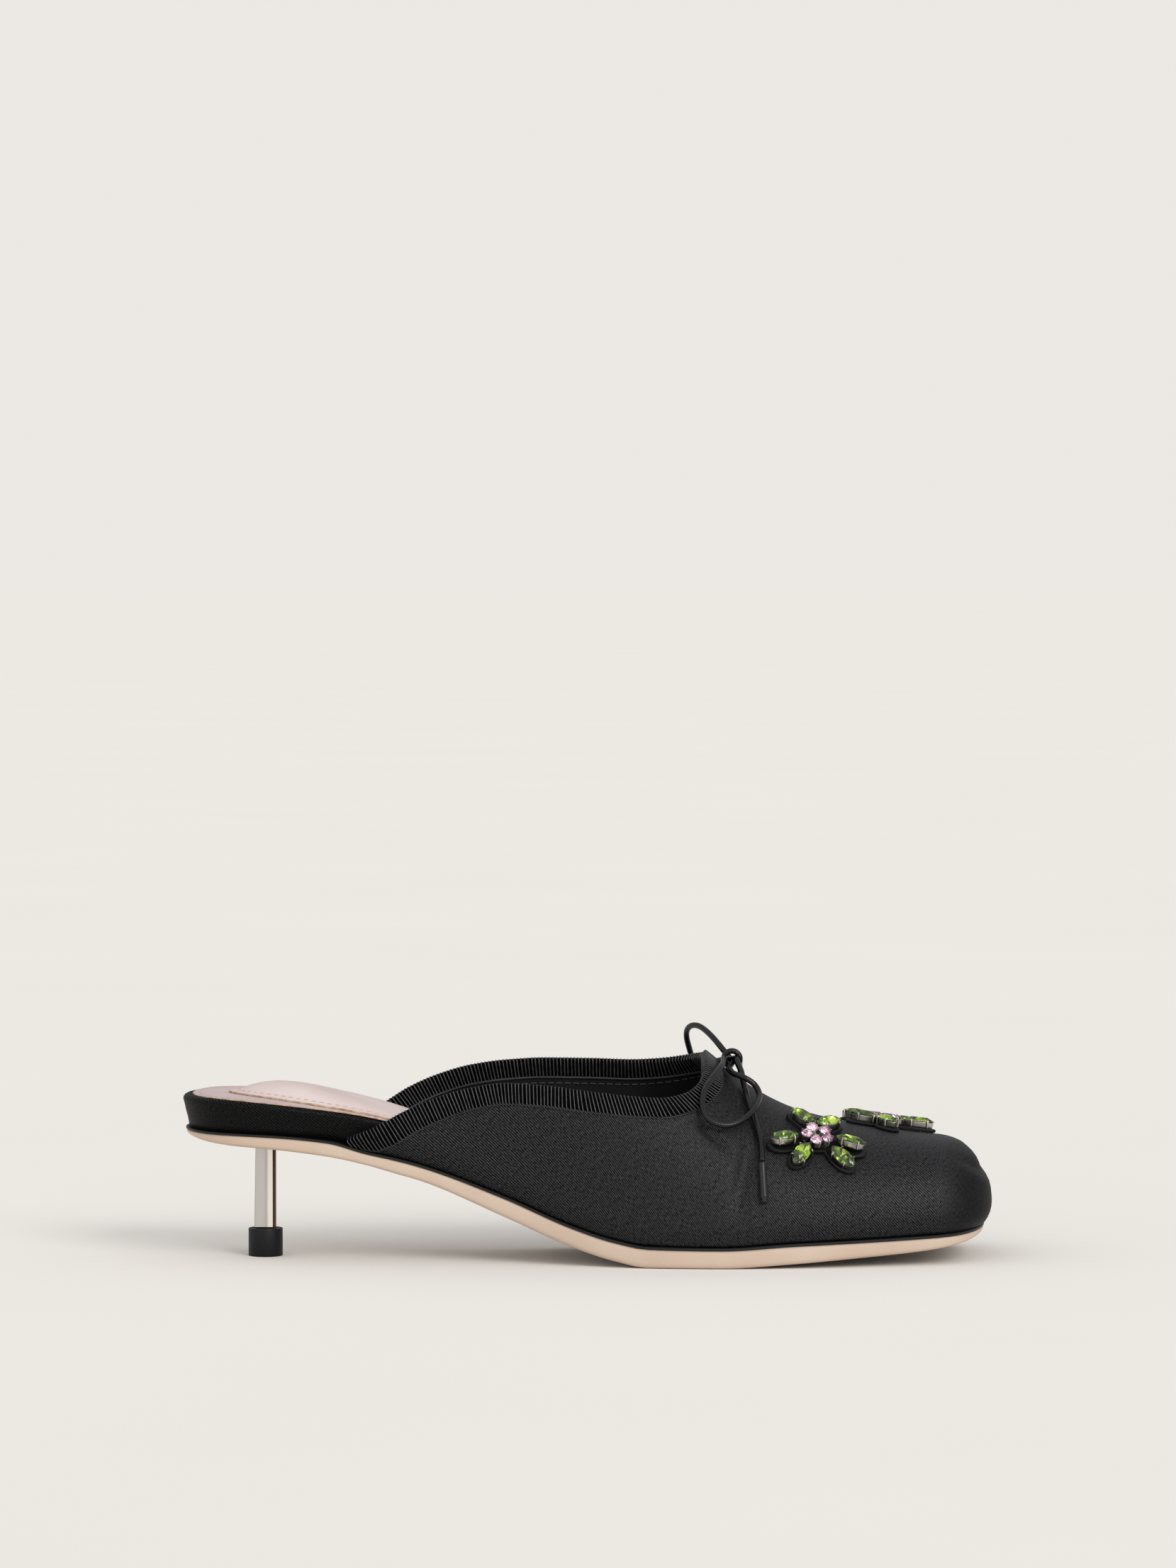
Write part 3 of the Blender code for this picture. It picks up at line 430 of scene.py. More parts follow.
def wave(tree: bpy.types.NodeTree, turns: bpy.types.Node | bpy.types.NodeSocket) -> bpy.types.Node:
    """Sine of a number of turns."""
    angle = add_node(tree, "ShaderNodeMath", {0: turns, 1: 2 * math.pi}, operation="MULTIPLY")
    return add_node(tree, "ShaderNodeMath", {0: angle}, operation="SINE")


@dataclass(frozen=True)
class Finish:
    """Common part of every finish: a named material, its shader's plain numbers and its relief."""

    name: str
    roughness: float = 0.5
    metallic: float = 0.0
    specular: float = 0.5
    sockets: dict = field(default_factory=dict)
    relief: float = 0.0
    strength: float = 0.0

    def pattern(self, tree: bpy.types.NodeTree) -> tuple[dict, bpy.types.Node | None]:
        """What the shader's inputs take and what the relief follows; each finish draws its own."""
        raise NotImplementedError

    def dress(self) -> bpy.types.Material:
        """Make the material.

        Returns:
            The material with its pattern and relief.
        """
        made = bpy.data.materials.new(self.name)
        made.use_nodes = True
        tree = made.node_tree
        shader = tree.nodes["Principled BSDF"]
        wire(tree, shader, {"Roughness": self.roughness, "Metallic": self.metallic,
                            "Specular IOR Level": self.specular, **self.sockets})
        links, height = self.pattern(tree)
        wire(tree, shader, links)
        if height is not None:
            bump = add_node(tree, "ShaderNodeBump", {"Height": height, "Strength": self.strength,
                                                     "Distance": self.relief})
            wire(tree, shader, {"Normal": bump})
        return made


@dataclass(frozen=True)
class TwillFinish(Finish):
    """Silk satin woven in a steep twill: fine slanting lines that break up a broad soft gloss."""

    relief: float = 0.06 * MM
    strength: float = 0.55
    pitch: float = 0.69 * MM
    angle: float = 39.0
    crossing: tuple[float, float] = (1.33, -1.38)
    crossing_weight: float = 0.35
    float_length: float = 1.8 * MM
    float_scale: float = 1.9
    float_weight: float = 3.4
    wander_scale: float = 700.0
    wander_weight: float = 0.4
    grain_scale: float = 2600.0
    grain_weight: float = 1.2
    levels: tuple[float, float] = (0.9, 3.7)
    dark: str = "#010101"
    middle: str = "#040405"
    light: str = "#313135"
    shine: tuple[float, float] = (0.1, 2.0)
    # Painted shade: between these two facings along +X, colour, gloss and sheen fall to the tone below, so the
    # toe's front looks darker
    front: tuple[float, float] = (0.25, 0.95)
    toe_front_shade_tone: float = 0.22

    def pattern(self, tree: bpy.types.NodeTree) -> tuple[dict, bpy.types.Node | None]:
        """Draw the weave on the cloth's own pattern coordinates, with painted shade where the surface faces +X at
        the toe's front.
        """
        add = partial(add_node, tree)
        noise = partial(add, "ShaderNodeTexNoise")
        blend = partial(add, "ShaderNodeMath", operation="MULTIPLY_ADD")
        multiply = partial(add, "ShaderNodeMath", operation="MULTIPLY")
        cloth = add("ShaderNodeUVMap", uv_map="pattern")
        lean = math.radians(self.angle)
        across = (math.sin(lean) / self.pitch, math.cos(lean) / self.pitch, 0.0)
        along = (math.cos(lean) / self.float_length, -math.sin(lean) / self.float_length, 0.0)
        weft = tuple(way / self.pitch for way in self.crossing) + (0.0,)
        count, steps, ends = (
            add("ShaderNodeVectorMath", {0: cloth, 1: way}, operation="DOT_PRODUCT").outputs["Value"]
            for way in (across, along, weft))
        wander = noise({"Vector": cloth, "Scale": self.wander_scale, "Detail": 2.0})
        ridge = wave(tree, blend({0: wander, 1: self.wander_weight, 2: count}))
        lattice = blend({0: wave(tree, ends), 1: self.crossing_weight, 2: ridge})
        thread = add("ShaderNodeCombineXYZ", {"X": count, "Y": steps})
        floats = noise({"Vector": thread, "Scale": self.float_scale, "Detail": 1.0})
        woven = blend({0: floats, 1: self.float_weight, 2: lattice})
        grain = noise({"Vector": cloth, "Scale": self.grain_scale, "Detail": 1.0})
        mixed = blend({0: grain, 1: self.grain_weight, 2: woven})
        level = add("ShaderNodeMapRange", {"Value": mixed, "From Min": self.levels[0],
                                           "From Max": self.levels[1]})
        ramp = add("ShaderNodeValToRGB", {"Fac": level},
                   ((0.2, self.dark), (0.5, self.middle), (0.88, self.light)))
        # Painted shade: the normal's X dims colour, gloss and sheen on the toe's front
        normal = add("ShaderNodeNewGeometry").outputs["Normal"]
        facing = add("ShaderNodeSeparateXYZ", {0: normal})
        turned = add("ShaderNodeMapRange", {"Value": facing, "From Min": self.front[0],
                                            "From Max": self.front[1], "To Max": self.toe_front_shade_tone,
                                            "To Min": 1.0})
        colour = add("ShaderNodeVectorMath", {0: ramp, "Scale": turned}, operation="SCALE")
        shine = add("ShaderNodeMapRange", {"Value": level, "To Min": self.shine[0],
                                           "To Max": self.shine[1]})
        gloss = multiply({0: turned, 1: shine})
        sheen = self.sockets.get("Sheen Weight", 0.0)
        return {"Base Color": colour, "Specular IOR Level": multiply({0: gloss, 1: self.specular}),
                "Sheen Weight": multiply({0: gloss, 1: sheen})}, level


@dataclass(frozen=True)
class GrainFinish(Finish):
    """A surface whose colour wanders between two tones with a fine grain in it."""

    relief: float = 0.04 * MM
    strength: float = 0.3
    tones: tuple[str, str] = ("#808080", "#909090")
    patch: float = 12 * MM
    grain: float = 0.5 * MM
    grain_weight: float = 0.35

    def pattern(self, tree: bpy.types.NodeTree) -> tuple[dict, bpy.types.Node | None]:
        """Draw tone and grain on object coordinates."""
        add = partial(add_node, tree)
        place = add("ShaderNodeTexCoord").outputs["Object"]
        wide = add("ShaderNodeTexNoise", {"Vector": place, "Scale": 1 / self.patch, "Detail": 3.0})
        fine = add("ShaderNodeTexNoise", {"Vector": place, "Scale": 1 / self.grain, "Detail": 3.0,
                                          "Roughness": 0.6})
        blend = add("ShaderNodeMath", {0: fine, 1: self.grain_weight, 2: wide},
                    operation="MULTIPLY_ADD")
        ramp = add("ShaderNodeValToRGB", {"Fac": blend}, tuple(zip((0.48, 0.88), self.tones)))
        return {"Base Color": ramp}, fine


@dataclass(frozen=True)
class BraidFinish(Finish):
    """Elastic cord with a braided cover: two sets of fine threads cross round it."""

    relief: float = 0.05 * MM
    strength: float = 0.3
    pitch: float = 0.9 * MM
    tones: tuple[str, str] = ("#050506", "#101011")

    def pattern(self, tree: bpy.types.NodeTree) -> tuple[dict, bpy.types.Node | None]:
        """Draw the braid on the tube's own coordinates, along and around."""
        add = partial(add_node, tree)
        cover = add("ShaderNodeUVMap", uv_map="pattern")
        waves = {}
        for number, lean in enumerate((1.0, -1.0)):
            way = (1 / self.pitch, lean / self.pitch, 0.0)
            count = add("ShaderNodeVectorMath", {0: cover, 1: way}, operation="DOT_PRODUCT")
            waves[number] = wave(tree, count.outputs["Value"])
        weave = add("ShaderNodeMath", waves, operation="MAXIMUM")
        level = add("ShaderNodeMapRange", {"Value": weave, "From Min": -0.6, "From Max": 1.0})
        ramp = add("ShaderNodeValToRGB", {"Fac": level}, tuple(zip((0.1, 0.95), self.tones)))
        return {"Base Color": ramp}, level


@dataclass(frozen=True)
class CloudFinish(Finish):
    """Even surface with a faint cloud in its tone, so that nothing is dead flat."""

    tones: tuple[str, str] = ("#a8c850", "#c0dc70")
    patch: float = 3 * MM
    spread: tuple[float, float] = (0.35, 0.65)

    def pattern(self, tree: bpy.types.NodeTree) -> tuple[dict, bpy.types.Node | None]:
        """Draw the cloud on object coordinates."""
        place = add_node(tree, "ShaderNodeTexCoord").outputs["Object"]
        cloud = add_node(tree, "ShaderNodeTexNoise", {"Vector": place, "Scale": 1 / self.patch})
        ramp = add_node(tree, "ShaderNodeValToRGB", {"Fac": cloud}, tuple(zip(self.spread, self.tones)))
        return {"Base Color": ramp}, None


@dataclass(frozen=True)
class FoilFinish(Finish):
    """Mirror foil behind the cut facets: each facet gets a random tone from dark to near white, painted glints and
    dark facets on top of the real reflections.
    """

    tones: tuple[str, str, str] = ("#303030", "#909090", "#f0f0f0")

    def pattern(self, tree: bpy.types.NodeTree) -> tuple[dict, bpy.types.Node | None]:
        """Read each facet's painted glint tone."""
        facet = add_node(tree, "ShaderNodeAttribute", attribute_name="tone").outputs["Fac"]
        stops = tuple(zip((0.05, 0.5, 0.95), self.tones))
        return {"Base Color": add_node(tree, "ShaderNodeValToRGB", {"Fac": facet}, stops)}, None


@dataclass(frozen=True)
class SteelFinish(Finish):
    """Brushed bar with painted reflections: its colour follows the way each side faces, with scratches along it.
    """

    relief: float = 0.04 * MM
    strength: float = 0.1
    # Painted reflections: grey facing left, bright facing front and a little right, brown facing right where the
    # bar would mirror the shaded sole
    tones: tuple[tuple[float, str], ...] = (
        (0.0, "#a8a29d"), (0.46, "#c8c3c0"), (0.505, "#b4aca7"), (0.56, "#f1ebe2"),
        (0.68, "#efe8de"), (0.80, "#6a4e3e"), (1.0, "#7d6657"))
    scratch: float = 0.3 * MM
    drawn_out: float = 0.03
    waver: float = 0.03

    def pattern(self, tree: bpy.types.NodeTree) -> tuple[dict, bpy.types.Node | None]:
        """Draw the painted reflections by the way the surface faces, and the scratches."""
        add = partial(add_node, tree)
        blend = partial(add, "ShaderNodeMath", operation="MULTIPLY_ADD")
        # The normal's X picks the painted reflection's tone
        normal = add("ShaderNodeNewGeometry").outputs["Normal"]
        share = blend({0: add("ShaderNodeSeparateXYZ", {0: normal}), 1: 0.5, 2: 0.5})
        place = add("ShaderNodeTexCoord").outputs["Object"]
        drawn = add("ShaderNodeMapping", {"Vector": place, "Scale": (1.0, 1.0, self.drawn_out)})
        lines = add("ShaderNodeTexNoise", {"Vector": drawn, "Scale": 1 / self.scratch, "Detail": 3.0})
        tone = blend({0: lines, 1: self.waver, 2: share})
        stops = [(stop + self.waver / 2, colour) for stop, colour in self.tones]
        return {"Base Color": add("ShaderNodeValToRGB", {"Fac": tone}, stops)}, lines


class Wardrobe:
    """All finishes of the shoe, each made once."""

    def __init__(self) -> None:
        """Make the materials, named for what they are."""
        dull, soft = {"specular": 0.2}, {"specular": 0.3}
        # Silk-faced satin: near black, bright floats along slanting lines, a cool glancing sheen, and painted
        # shade where it faces forward at the toe
        sheen = {"Sheen Weight": 0.06, "Sheen Roughness": 0.4, "Sheen Tint": linear("#a4abc4")}
        self.satin = TwillFinish("black_silk_satin", 0.5, sockets=sheen, **dull).dress()
        # The same cloth in a darker, duller copy: painted shade for the footbed's wall
        self.shaded_satin = TwillFinish("black_silk_satin_cross", 0.55, specular=0.1, dark="#040404",
                                       middle="#070707", light="#111112", relief=0.02 * MM).dress()
        # Lining cloth: plain black, nearly no gloss
        self.lining = GrainFinish("black_lining_cloth", 0.75, tones=("#050506", "#101012"),
                                  grain=0.4 * MM, **dull).dress()
        # Grosgrain ribs: hard-twisted cords that take one thin bright line each
        self.ribbon = GrainFinish("black_grosgrain", 0.34, tones=("#161618", "#3e3e40"), patch=1.5 * MM,
                                  grain=0.22 * MM, strength=0.8, relief=0.08 * MM).dress()
        # Ground of the ribbon between its ribs: its own black taken darker and duller than the ribs, painted shade
        # in the grooves
        self.ground = GrainFinish("black_ribbon_ground", 0.8, tones=("#010101", "#030303"),
                                  grain=0.3 * MM, specular=0.03).dress()
        # Sewing thread: dull grey-black strands
        self.black_thread = GrainFinish("black_cotton_thread", 0.6, tones=("#141415", "#303033"),
                                        grain=0.2 * MM).dress()
        # Nude sole leather: smooth, softly waxed, a little uneven in tone
        self.nude = GrainFinish("nude_sole_leather", 0.5, tones=("#c1ab99", "#cbb8a7"), patch=25 * MM,
                                grain=0.35 * MM, strength=0.12, **dull).dress()
        # Tread of the sole: the same leather, greyed by the floor
        self.tread = GrainFinish("scuffed_sole_leather", 0.7, tones=("#a3988e", "#b5aaa0"),
                                 patch=9 * MM, **dull).dress()
        # Edge paint on the board: black with a dull grey gloss
        self.edge_paint = GrainFinish("black_edge_paint", 0.5, tones=("#0a0a0b", "#161617"),
                                      strength=0.4, **soft).dress()
        # Glove leather: dusty pink with a fine pore grain
        hide = {"patch": 18 * MM, "grain": 0.45 * MM, "strength": 0.22, **dull}
        self.pink = GrainFinish("pink_glove_leather", 0.55, tones=("#cab9b5", "#d6c8c5"), **hide).dress()
        # Sock leather under the pad: the same hide a shade deeper and pinker
        self.sock = GrainFinish("pink_sock_leather", 0.6, tones=("#bdabab", "#c9b9b9"), **hide).dress()
        # Raw cut edge of the leather: open brown fibres
        self.raw_edge = GrainFinish("raw_leather_edge", 0.85, tones=("#94755d", "#cdb39e"), patch=2 * MM,
                                    grain=0.3 * MM, strength=0.6, relief=0.12 * MM, **dull).dress()
        # Stitch thread in the insole: greyed brown polyester
        self.rose_thread = GrainFinish("rose_polyester_thread", 0.6, tones=("#b39a92", "#c9b2aa"),
                                       grain=0.2 * MM, **dull).dress()
        # Brushed steel: fine upright scratches; each side of the bar holds a painted reflection of the studio
        # round it
        self.steel = SteelFinish("brushed_steel", 0.33, 1.0, sockets={"Anisotropic": 0.4}).dress()
        # Moulded rubber: dark slate black, slight bloom
        self.rubber = GrainFinish("moulded_rubber", 0.5, tones=("#07070a", "#0f0f13"), grain=0.3 * MM,
                                  strength=0.12, specular=0.25).dress()
        # Elastic cord: black with a silky braided cover
        self.cord = BraidFinish("braided_elastic_cord", 0.27, **soft).dress()
        # Shrunk tube on the cord's end: smooth grey-black plastic, a clear gloss
        self.tube = GrainFinish("shrunk_plastic_tube", 0.3, tones=("#141416", "#222224"),
                                grain=0.8 * MM, strength=0.1, **soft).dress()
        # Felt under the stones: fuzzy black
        self.felt = GrainFinish("black_wool_felt", 0.95, tones=("#040405", "#0e0e0f"), grain=0.3 * MM,
                                strength=0.7, relief=0.15 * MM, **dull).dress()
        # Whipping on the felt's edge: hard black thread
        self.whipping = GrainFinish("black_whipping_thread", 0.55, tones=("#08080a", "#1a1a1c"),
                                    grain=0.2 * MM, **soft).dress()
        # Plated cups: bright silver, its tone wandering a little at random
        self.silver = GrainFinish("silver_plate", 0.28, 1.0, tones=("#8a8680", "#d6d2cb"), patch=3 * MM,
                                  grain=0.3 * MM, strength=0.06).dress()
        clear = {"Transmission Weight": 1.0, "IOR": 1.58}
        # Peridot glass crown and the foiled facets under it
        self.green_glass = CloudFinish("peridot_glass", 0.0, tones=("#cfe38a", "#e0eea6"),
                                       sockets=clear).dress()
        self.green_foil = FoilFinish("peridot_foil", 0.06, 1.0,
                                     tones=("#3c4a06", "#a2c822", "#effaa8")).dress()
        # Rose glass crown and its foil
        self.pink_glass = CloudFinish("rose_glass", 0.0, tones=("#f3dcec", "#faeef7"),
                                      sockets=clear).dress()
        self.pink_foil = FoilFinish("rose_foil", 0.06, 1.0,
                                    tones=("#7d5468", "#ecc3dc", "#ffffff")).dress()


def running(points: Sequence[Point]) -> np.ndarray:
    """Running length along a line of points."""
    steps = np.linalg.norm(np.diff(np.asarray(points), axis=0), axis=1)
    return np.concatenate([[0.0], np.cumsum(steps)])


def at_run(at: float | np.ndarray, run: np.ndarray, points: np.ndarray) -> np.ndarray:
    """Points of a line at running lengths."""
    return np.stack([np.interp(at, run, column) for column in points.T], axis=-1)


def between(low: Curve, high: Curve, share: float) -> Curve:
    """Height at a share of the way from one height to another."""
    return lambda x: low(x) + share * (high(x) - low(x))


def bands(rings: int, count: int) -> Faces:
    """Faces between matched closed loops, loop by loop."""
    return [(a * count + i, a * count + (i + 1) % count, (a + 1) * count + (i + 1) % count, (a + 1) * count + i)
            for a in range(rings - 1) for i in range(count)]


def caps(rings: int, count: int) -> Faces:
    """Faces that close the first and the final loop."""
    return [tuple(range(count)), tuple(range((rings - 1) * count, rings * count))]


def grid(columns: int, rows: int, start: int = 0) -> Faces:
    """Faces of an open sheet of points, column by column."""
    corners = [start + i * rows + row for i in range(columns - 1) for row in range(rows - 1)]
    return [(corner, corner + rows, corner + rows + 1, corner + 1) for corner in corners]


def mesh_of(name: str, points: Sequence[Point], faces: Sequence[Sequence[int]],
            marks: Sequence[Point] | None = None) -> bpy.types.Mesh:
    """Make a mesh.

    Args:
        name: mesh name.
        points: vertices.
        faces: corners of each face.
        marks: pattern place of each vertex, for cloth and cord.

    Returns:
        The mesh.
    """
    data = bpy.data.meshes.new(name)
    data.from_pydata([tuple(p) for p in points], [], [tuple(f) for f in faces])
    data.update()
    if marks is not None:
        layer = data.uv_layers.new(name="pattern")
        for k, loop in enumerate(data.loops):
            layer.data[k].uv = marks[loop.vertex_index]
    return data


def mend(data: bpy.types.Mesh, merge: float = 1e-7) -> bpy.types.Mesh:
    """Merge doubles of a closed mesh, turn its faces out and shade it smooth.

    Args:
        data: mesh to mend.
        merge: distance under which points are one.

    Returns:
        The same mesh.
    """
    bm = bmesh.new()
    bm.from_mesh(data)
    bmesh.ops.remove_doubles(bm, verts=bm.verts, dist=merge)
    bmesh.ops.recalc_face_normals(bm, faces=bm.faces)
    bm.to_mesh(data)
    bm.free()
    data.polygons.foreach_set("use_smooth", [True] * len(data.polygons))
    return data


def stacked(name: str, rings: Sequence[Sequence[Point]], closed: bool = True) -> bpy.types.Mesh:
    """Skin matched loops.

    Args:
        name: mesh name.
        rings: the loops.
        closed: whether the first and the final loop are filled.

    Returns:
        The mended mesh.
    """
    count = len(rings[0])
    faces = bands(len(rings), count) + (caps(len(rings), count) if closed else [])
    return mend(mesh_of(name, [p for ring in rings for p in ring], faces))


def paint_facet_glints(data: bpy.types.Mesh, seed: int) -> None:
    """Leave a stone flat-faced and give each facet a random tone, painted glints and dark facets.

    Args:
        data: mesh of the stones.
        seed: start of the random row.
    """
    random = np.random.default_rng(seed)
    layer = data.attributes.new("tone", "FLOAT", "FACE")
    layer.data.foreach_set("value", random.beta(0.8, 1.0, len(data.polygons)).astype(np.float32))
    data.polygons.foreach_set("use_smooth", [False] * len(data.polygons))


def add_piece(name: str, data: bpy.types.Mesh, finishes: Sequence[bpy.types.Material],
              nodes: Sequence[str] = ()) -> bpy.types.Object:
    """Hang a finished mesh on the shoe.

    Args:
        name: piece name.
        data: its mesh, in place.
        finishes: materials of its slots.
        nodes: solids that it stands for.

    Returns:
        The piece.
    """
    for finish in finishes:
        if finish.name not in data.materials:
            data.materials.append(finish)
    piece = bpy.data.objects.new(name, data)
    bpy.context.scene.collection.objects.link(piece)
    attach(piece, BODY)
    if nodes:
        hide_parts(*nodes)
    LOG.info("%s: %d faces, stands for %s", name, len(data.polygons), ", ".join(nodes) or "nothing")
    return piece


class ThreadTree:
    """Geometry Nodes tree that draws every line of a mesh as a round thread."""

    def __init__(self) -> None:
        """Build the tree with named inputs for its sizes."""
        self.tree = bpy.data.node_groups.new("thread_along_lines", "GeometryNodeTree")
        face = self.tree.interface
        kinds = {"Geometry": "Geometry", "Radius": "Float", "Sides": "Int", "Finish": "Material"}
        self.inputs = {name: face.new_socket(name, in_out="INPUT", socket_type="NodeSocket" + kind).identifier
                       for name, kind in kinds.items()}
        face.new_socket("Geometry", in_out="OUTPUT", socket_type="NodeSocketGeometry")
        add = partial(add_node, self.tree)
        given = add("NodeGroupInput").outputs
        line = add("GeometryNodeMeshToCurve", {"Mesh": given["Geometry"]})
        ring = add("GeometryNodeCurvePrimitiveCircle", {"Resolution": given["Sides"], "Radius": given["Radius"]})
        tube_mesh = add("GeometryNodeCurveToMesh", {"Curve": line, "Profile Curve": ring, "Fill Caps": True})
        soft = add("GeometryNodeSetShadeSmooth", {"Geometry": tube_mesh})
        whole = add("GeometryNodeRealizeInstances", {"Geometry": soft})
        dressed = add("GeometryNodeSetMaterial", {"Geometry": whole, "Material": given["Finish"]})
        add("NodeGroupOutput", {"Geometry": dressed})

    def add(self, name: str, lines: Sequence[Sequence[Point]], radius: float, sides: int,
            finish: bpy.types.Material, slot: str) -> None:
        """Draw lines as threads and hang them on the shoe as one plain mesh.

        Args:
            name: piece name.
            lines: points of each line.
            radius: thread radius.
            sides: corners of the thread's section.
            finish: its material.
            slot: not used.
        """
        edges = []
        start = 0
        for line in lines:
            edges += [(start + i, start + i + 1) for i in range(len(line) - 1)]
            start += len(line)
        wires = bpy.data.meshes.new(name + "_lines")
        wires.from_pydata([tuple(p) for line in lines for p in line], edges, [])
        holder = bpy.data.objects.new(name + "_lines", wires)
        bpy.context.scene.collection.objects.link(holder)
        steps = holder.modifiers.new("threads", "NODES")
        steps.node_group = self.tree
        for key, value in (("Radius", radius), ("Sides", sides), ("Finish", finish)):
            steps[self.inputs[key]] = value
        graph = bpy.context.evaluated_depsgraph_get()
        data = bpy.data.meshes.new_from_object(holder.evaluated_get(graph))
        data.name = name
        bpy.data.objects.remove(holder, do_unlink=True)
        bpy.data.meshes.remove(wires)
        add_piece(name, data, [])


@dataclass
class Last:
    """Form that the shoe is built on: sole outline, profile and arched sections."""

    heel_x: float = -0.097
    heel_reach: float = 0.0250
    heel_power: float = 2.15
    toe_x: float = 0.104
    toe_reach: float = 0.0166
    toe_power: float = 2.7
    toe_slant: float = 0.07
    wing_x: float = -0.0705
    throat_x: float = 0.0357
    throat_corner_x: float = 0.0300
    throat_foot_x: float = 0.0460
    feather_inset: float = 0.0010
    roll_height: float = 0.0065
    roll_front: float = 0.0036
    crest_tilt: float = -0.06
    gap: float = 0.0003
    insole_sheet: float = 0.00035
    settle: float = 0.0009
    surface_from: float = -0.076
    skive_share: float = 0.75
    skive_from: float = -0.1
    skive_run: float = 0.06
    taper_step: float = 0.002
    ring_steps: tuple[int, int, int] = (20, 110, 28)
    surface_steps: tuple[int, int] = (180, 60)
    surface_rows: int = 60
    wall_steps: int = 120
    weld: float = 2e-6

    def __post_init__(self) -> None:
        """Build the search tree over the whole outer surface."""
        along, round_toe = self.surface_steps
        stations = np.concatenate([np.linspace(self.station_of(self.surface_from), 1, along),
                                   np.linspace(1, 2, round_toe)[1:]])
        points: list[Point] = []
        faces: Faces = []
        for side in Side:
            faces += grid(len(stations), self.surface_rows, len(points))
            for station in stations:
                line, length = self.wall(side, station, self.wall_steps)
                points += list(at_run(np.linspace(0, length[-1], self.surface_rows), length, line))
        data = mend(mesh_of("last_surface", points, faces), self.weld)
        front = max(data.polygons, key=lambda face: face.center.x)
        if front.normal.x < 0:
            data.flip_normals()
        self.places = [v.co.copy() for v in data.vertices]
        self.normals = [n.vector.copy() for n in data.vertex_normals]
        self.faces = [tuple(f.vertices) for f in data.polygons]
        self.tree = BVHTree.FromPolygons(self.places, self.faces)
        bpy.data.meshes.remove(data)

    def station_of(self, x: float) -> float:
        """Station 0 to 1 along the sides; -1 to 0 is the heel's round end and 1 to 2 the toe."""
        return (x - self.heel_x) / (self.toe_x - self.heel_x)

    def outline_point(self, side: Side, station: float, inset: float = 0.0) -> tuple[float, float]:
        """Plan point of the sole edge.

        Args:
            side: side of the shoe.
            station: station round the edge.
            inset: how far the point is moved inwards.

        Returns:
            x and y.
        """
        if station < 0:
            angle = (1 + station) * math.pi / 2
            width = OUTLINE.at(side.label, self.heel_x) - inset
            x = self.heel_x - (self.heel_reach - inset) * math.cos(angle) ** (2 / self.heel_power)
            return x, side.value * width * math.sin(angle) ** (2 / self.heel_power)
        if station <= 1:
            x = self.heel_x + (self.toe_x - self.heel_x) * station
            return x, side.value * (OUTLINE.at(side.label, x) - inset)
        angle = (station - 1) * math.pi / 2
        ahead = math.sin(angle) ** (2 / self.toe_power)
        across = max(math.cos(angle), 0.0) ** (2 / self.toe_power)
        lateral, medial = OUTLINE.at("lateral", self.toe_x), OUTLINE.at("medial", self.toe_x)
        half = (medial + lateral) / 2 - inset
        wide = partial(OUTLINE.at, side.label)
        taper = (wide(self.toe_x) - wide(self.toe_x - self.taper_step)) / self.taper_step
        run = (self.toe_reach - inset) * ahead
        offset = side.value * (half + taper * run) * across
        return self.toe_x + run + self.toe_slant * offset * ahead, (medial - lateral) / 2 + offset

    def ring(self, inset: Curve | float, height: Curve) -> list[Point]:
        """Closed loop round the sole.

        Args:
            inset: inset, or a function of x.
            height: height as a function of x.

        Returns:
            The loop's points, lateral side first.
        """
        heel, sides, toe = self.ring_steps
        stations = np.concatenate([np.linspace(-1, 0, heel, endpoint=False),
                                   np.linspace(0, 1, sides, endpoint=False), np.linspace(1, 2, toe + 1)])
        halves = {side: [] for side in Side}
        for side, half in halves.items():
            for station in stations:
                pull = inset(self.outline_point(side, station)[0]) if callable(inset) else inset
                x, y = self.outline_point(side, station, pull)
                half.append((x, y, height(x)))
        return halves[Side.LATERAL] + halves[Side.MEDIAL][-2:0:-1]

    def wall(self, side: Side, station: float, count: int = 90) -> tuple[np.ndarray, np.ndarray]:
        """Outer line of the upper from the feather to the ridge.

        Args:
            side: side of the shoe.
            station: station round the edge.
            count: points along the line.

        Returns:
            The points and their running length.
        """
        if station <= 1:
            top_x = self.heel_x + (self.toe_x - self.heel_x) * station
            roll = SECTIONS.at("roll", top_x)
        else:
            top_x = self.toe_x
            turn = min(station - 1, 1.0)
            side_roll = SECTIONS.at("roll", self.toe_x)
            roll = side_roll + (self.roll_front - side_roll) * turn * turn * (3 - 2 * turn)
        foot = np.array(self.outline_point(side, station, self.feather_inset))
        top = np.array((top_x, SECTIONS.at("crest_y", top_x)))
        foot_z = PROFILE.at("rand_top", foot[0]) + self.gap
        top_z = SECTIONS.at("crest_z", top_x)
        power = SECTIONS.at("squareness", top_x)
        angle = np.linspace(0.0, math.pi / 2, count)
        inward = 1 - np.clip(np.cos(angle), 0, 1) ** (2 / power)
        rise = np.sin(angle) ** (2 / power)
        outward = (foot - top) / np.linalg.norm(foot - top)
        swell = 1 - (1 - np.minimum((top_z - foot_z) * rise / self.roll_height, 1)) ** 2
        plan = foot + np.outer(inward, top - foot) + np.outer(roll * swell * (1 - inward), outward)
        height = foot_z + (top_z + self.crest_tilt * (plan[:, 0] - top_x) - foot_z) * rise
        points = np.column_stack([plan, height])
        return points, running(points)

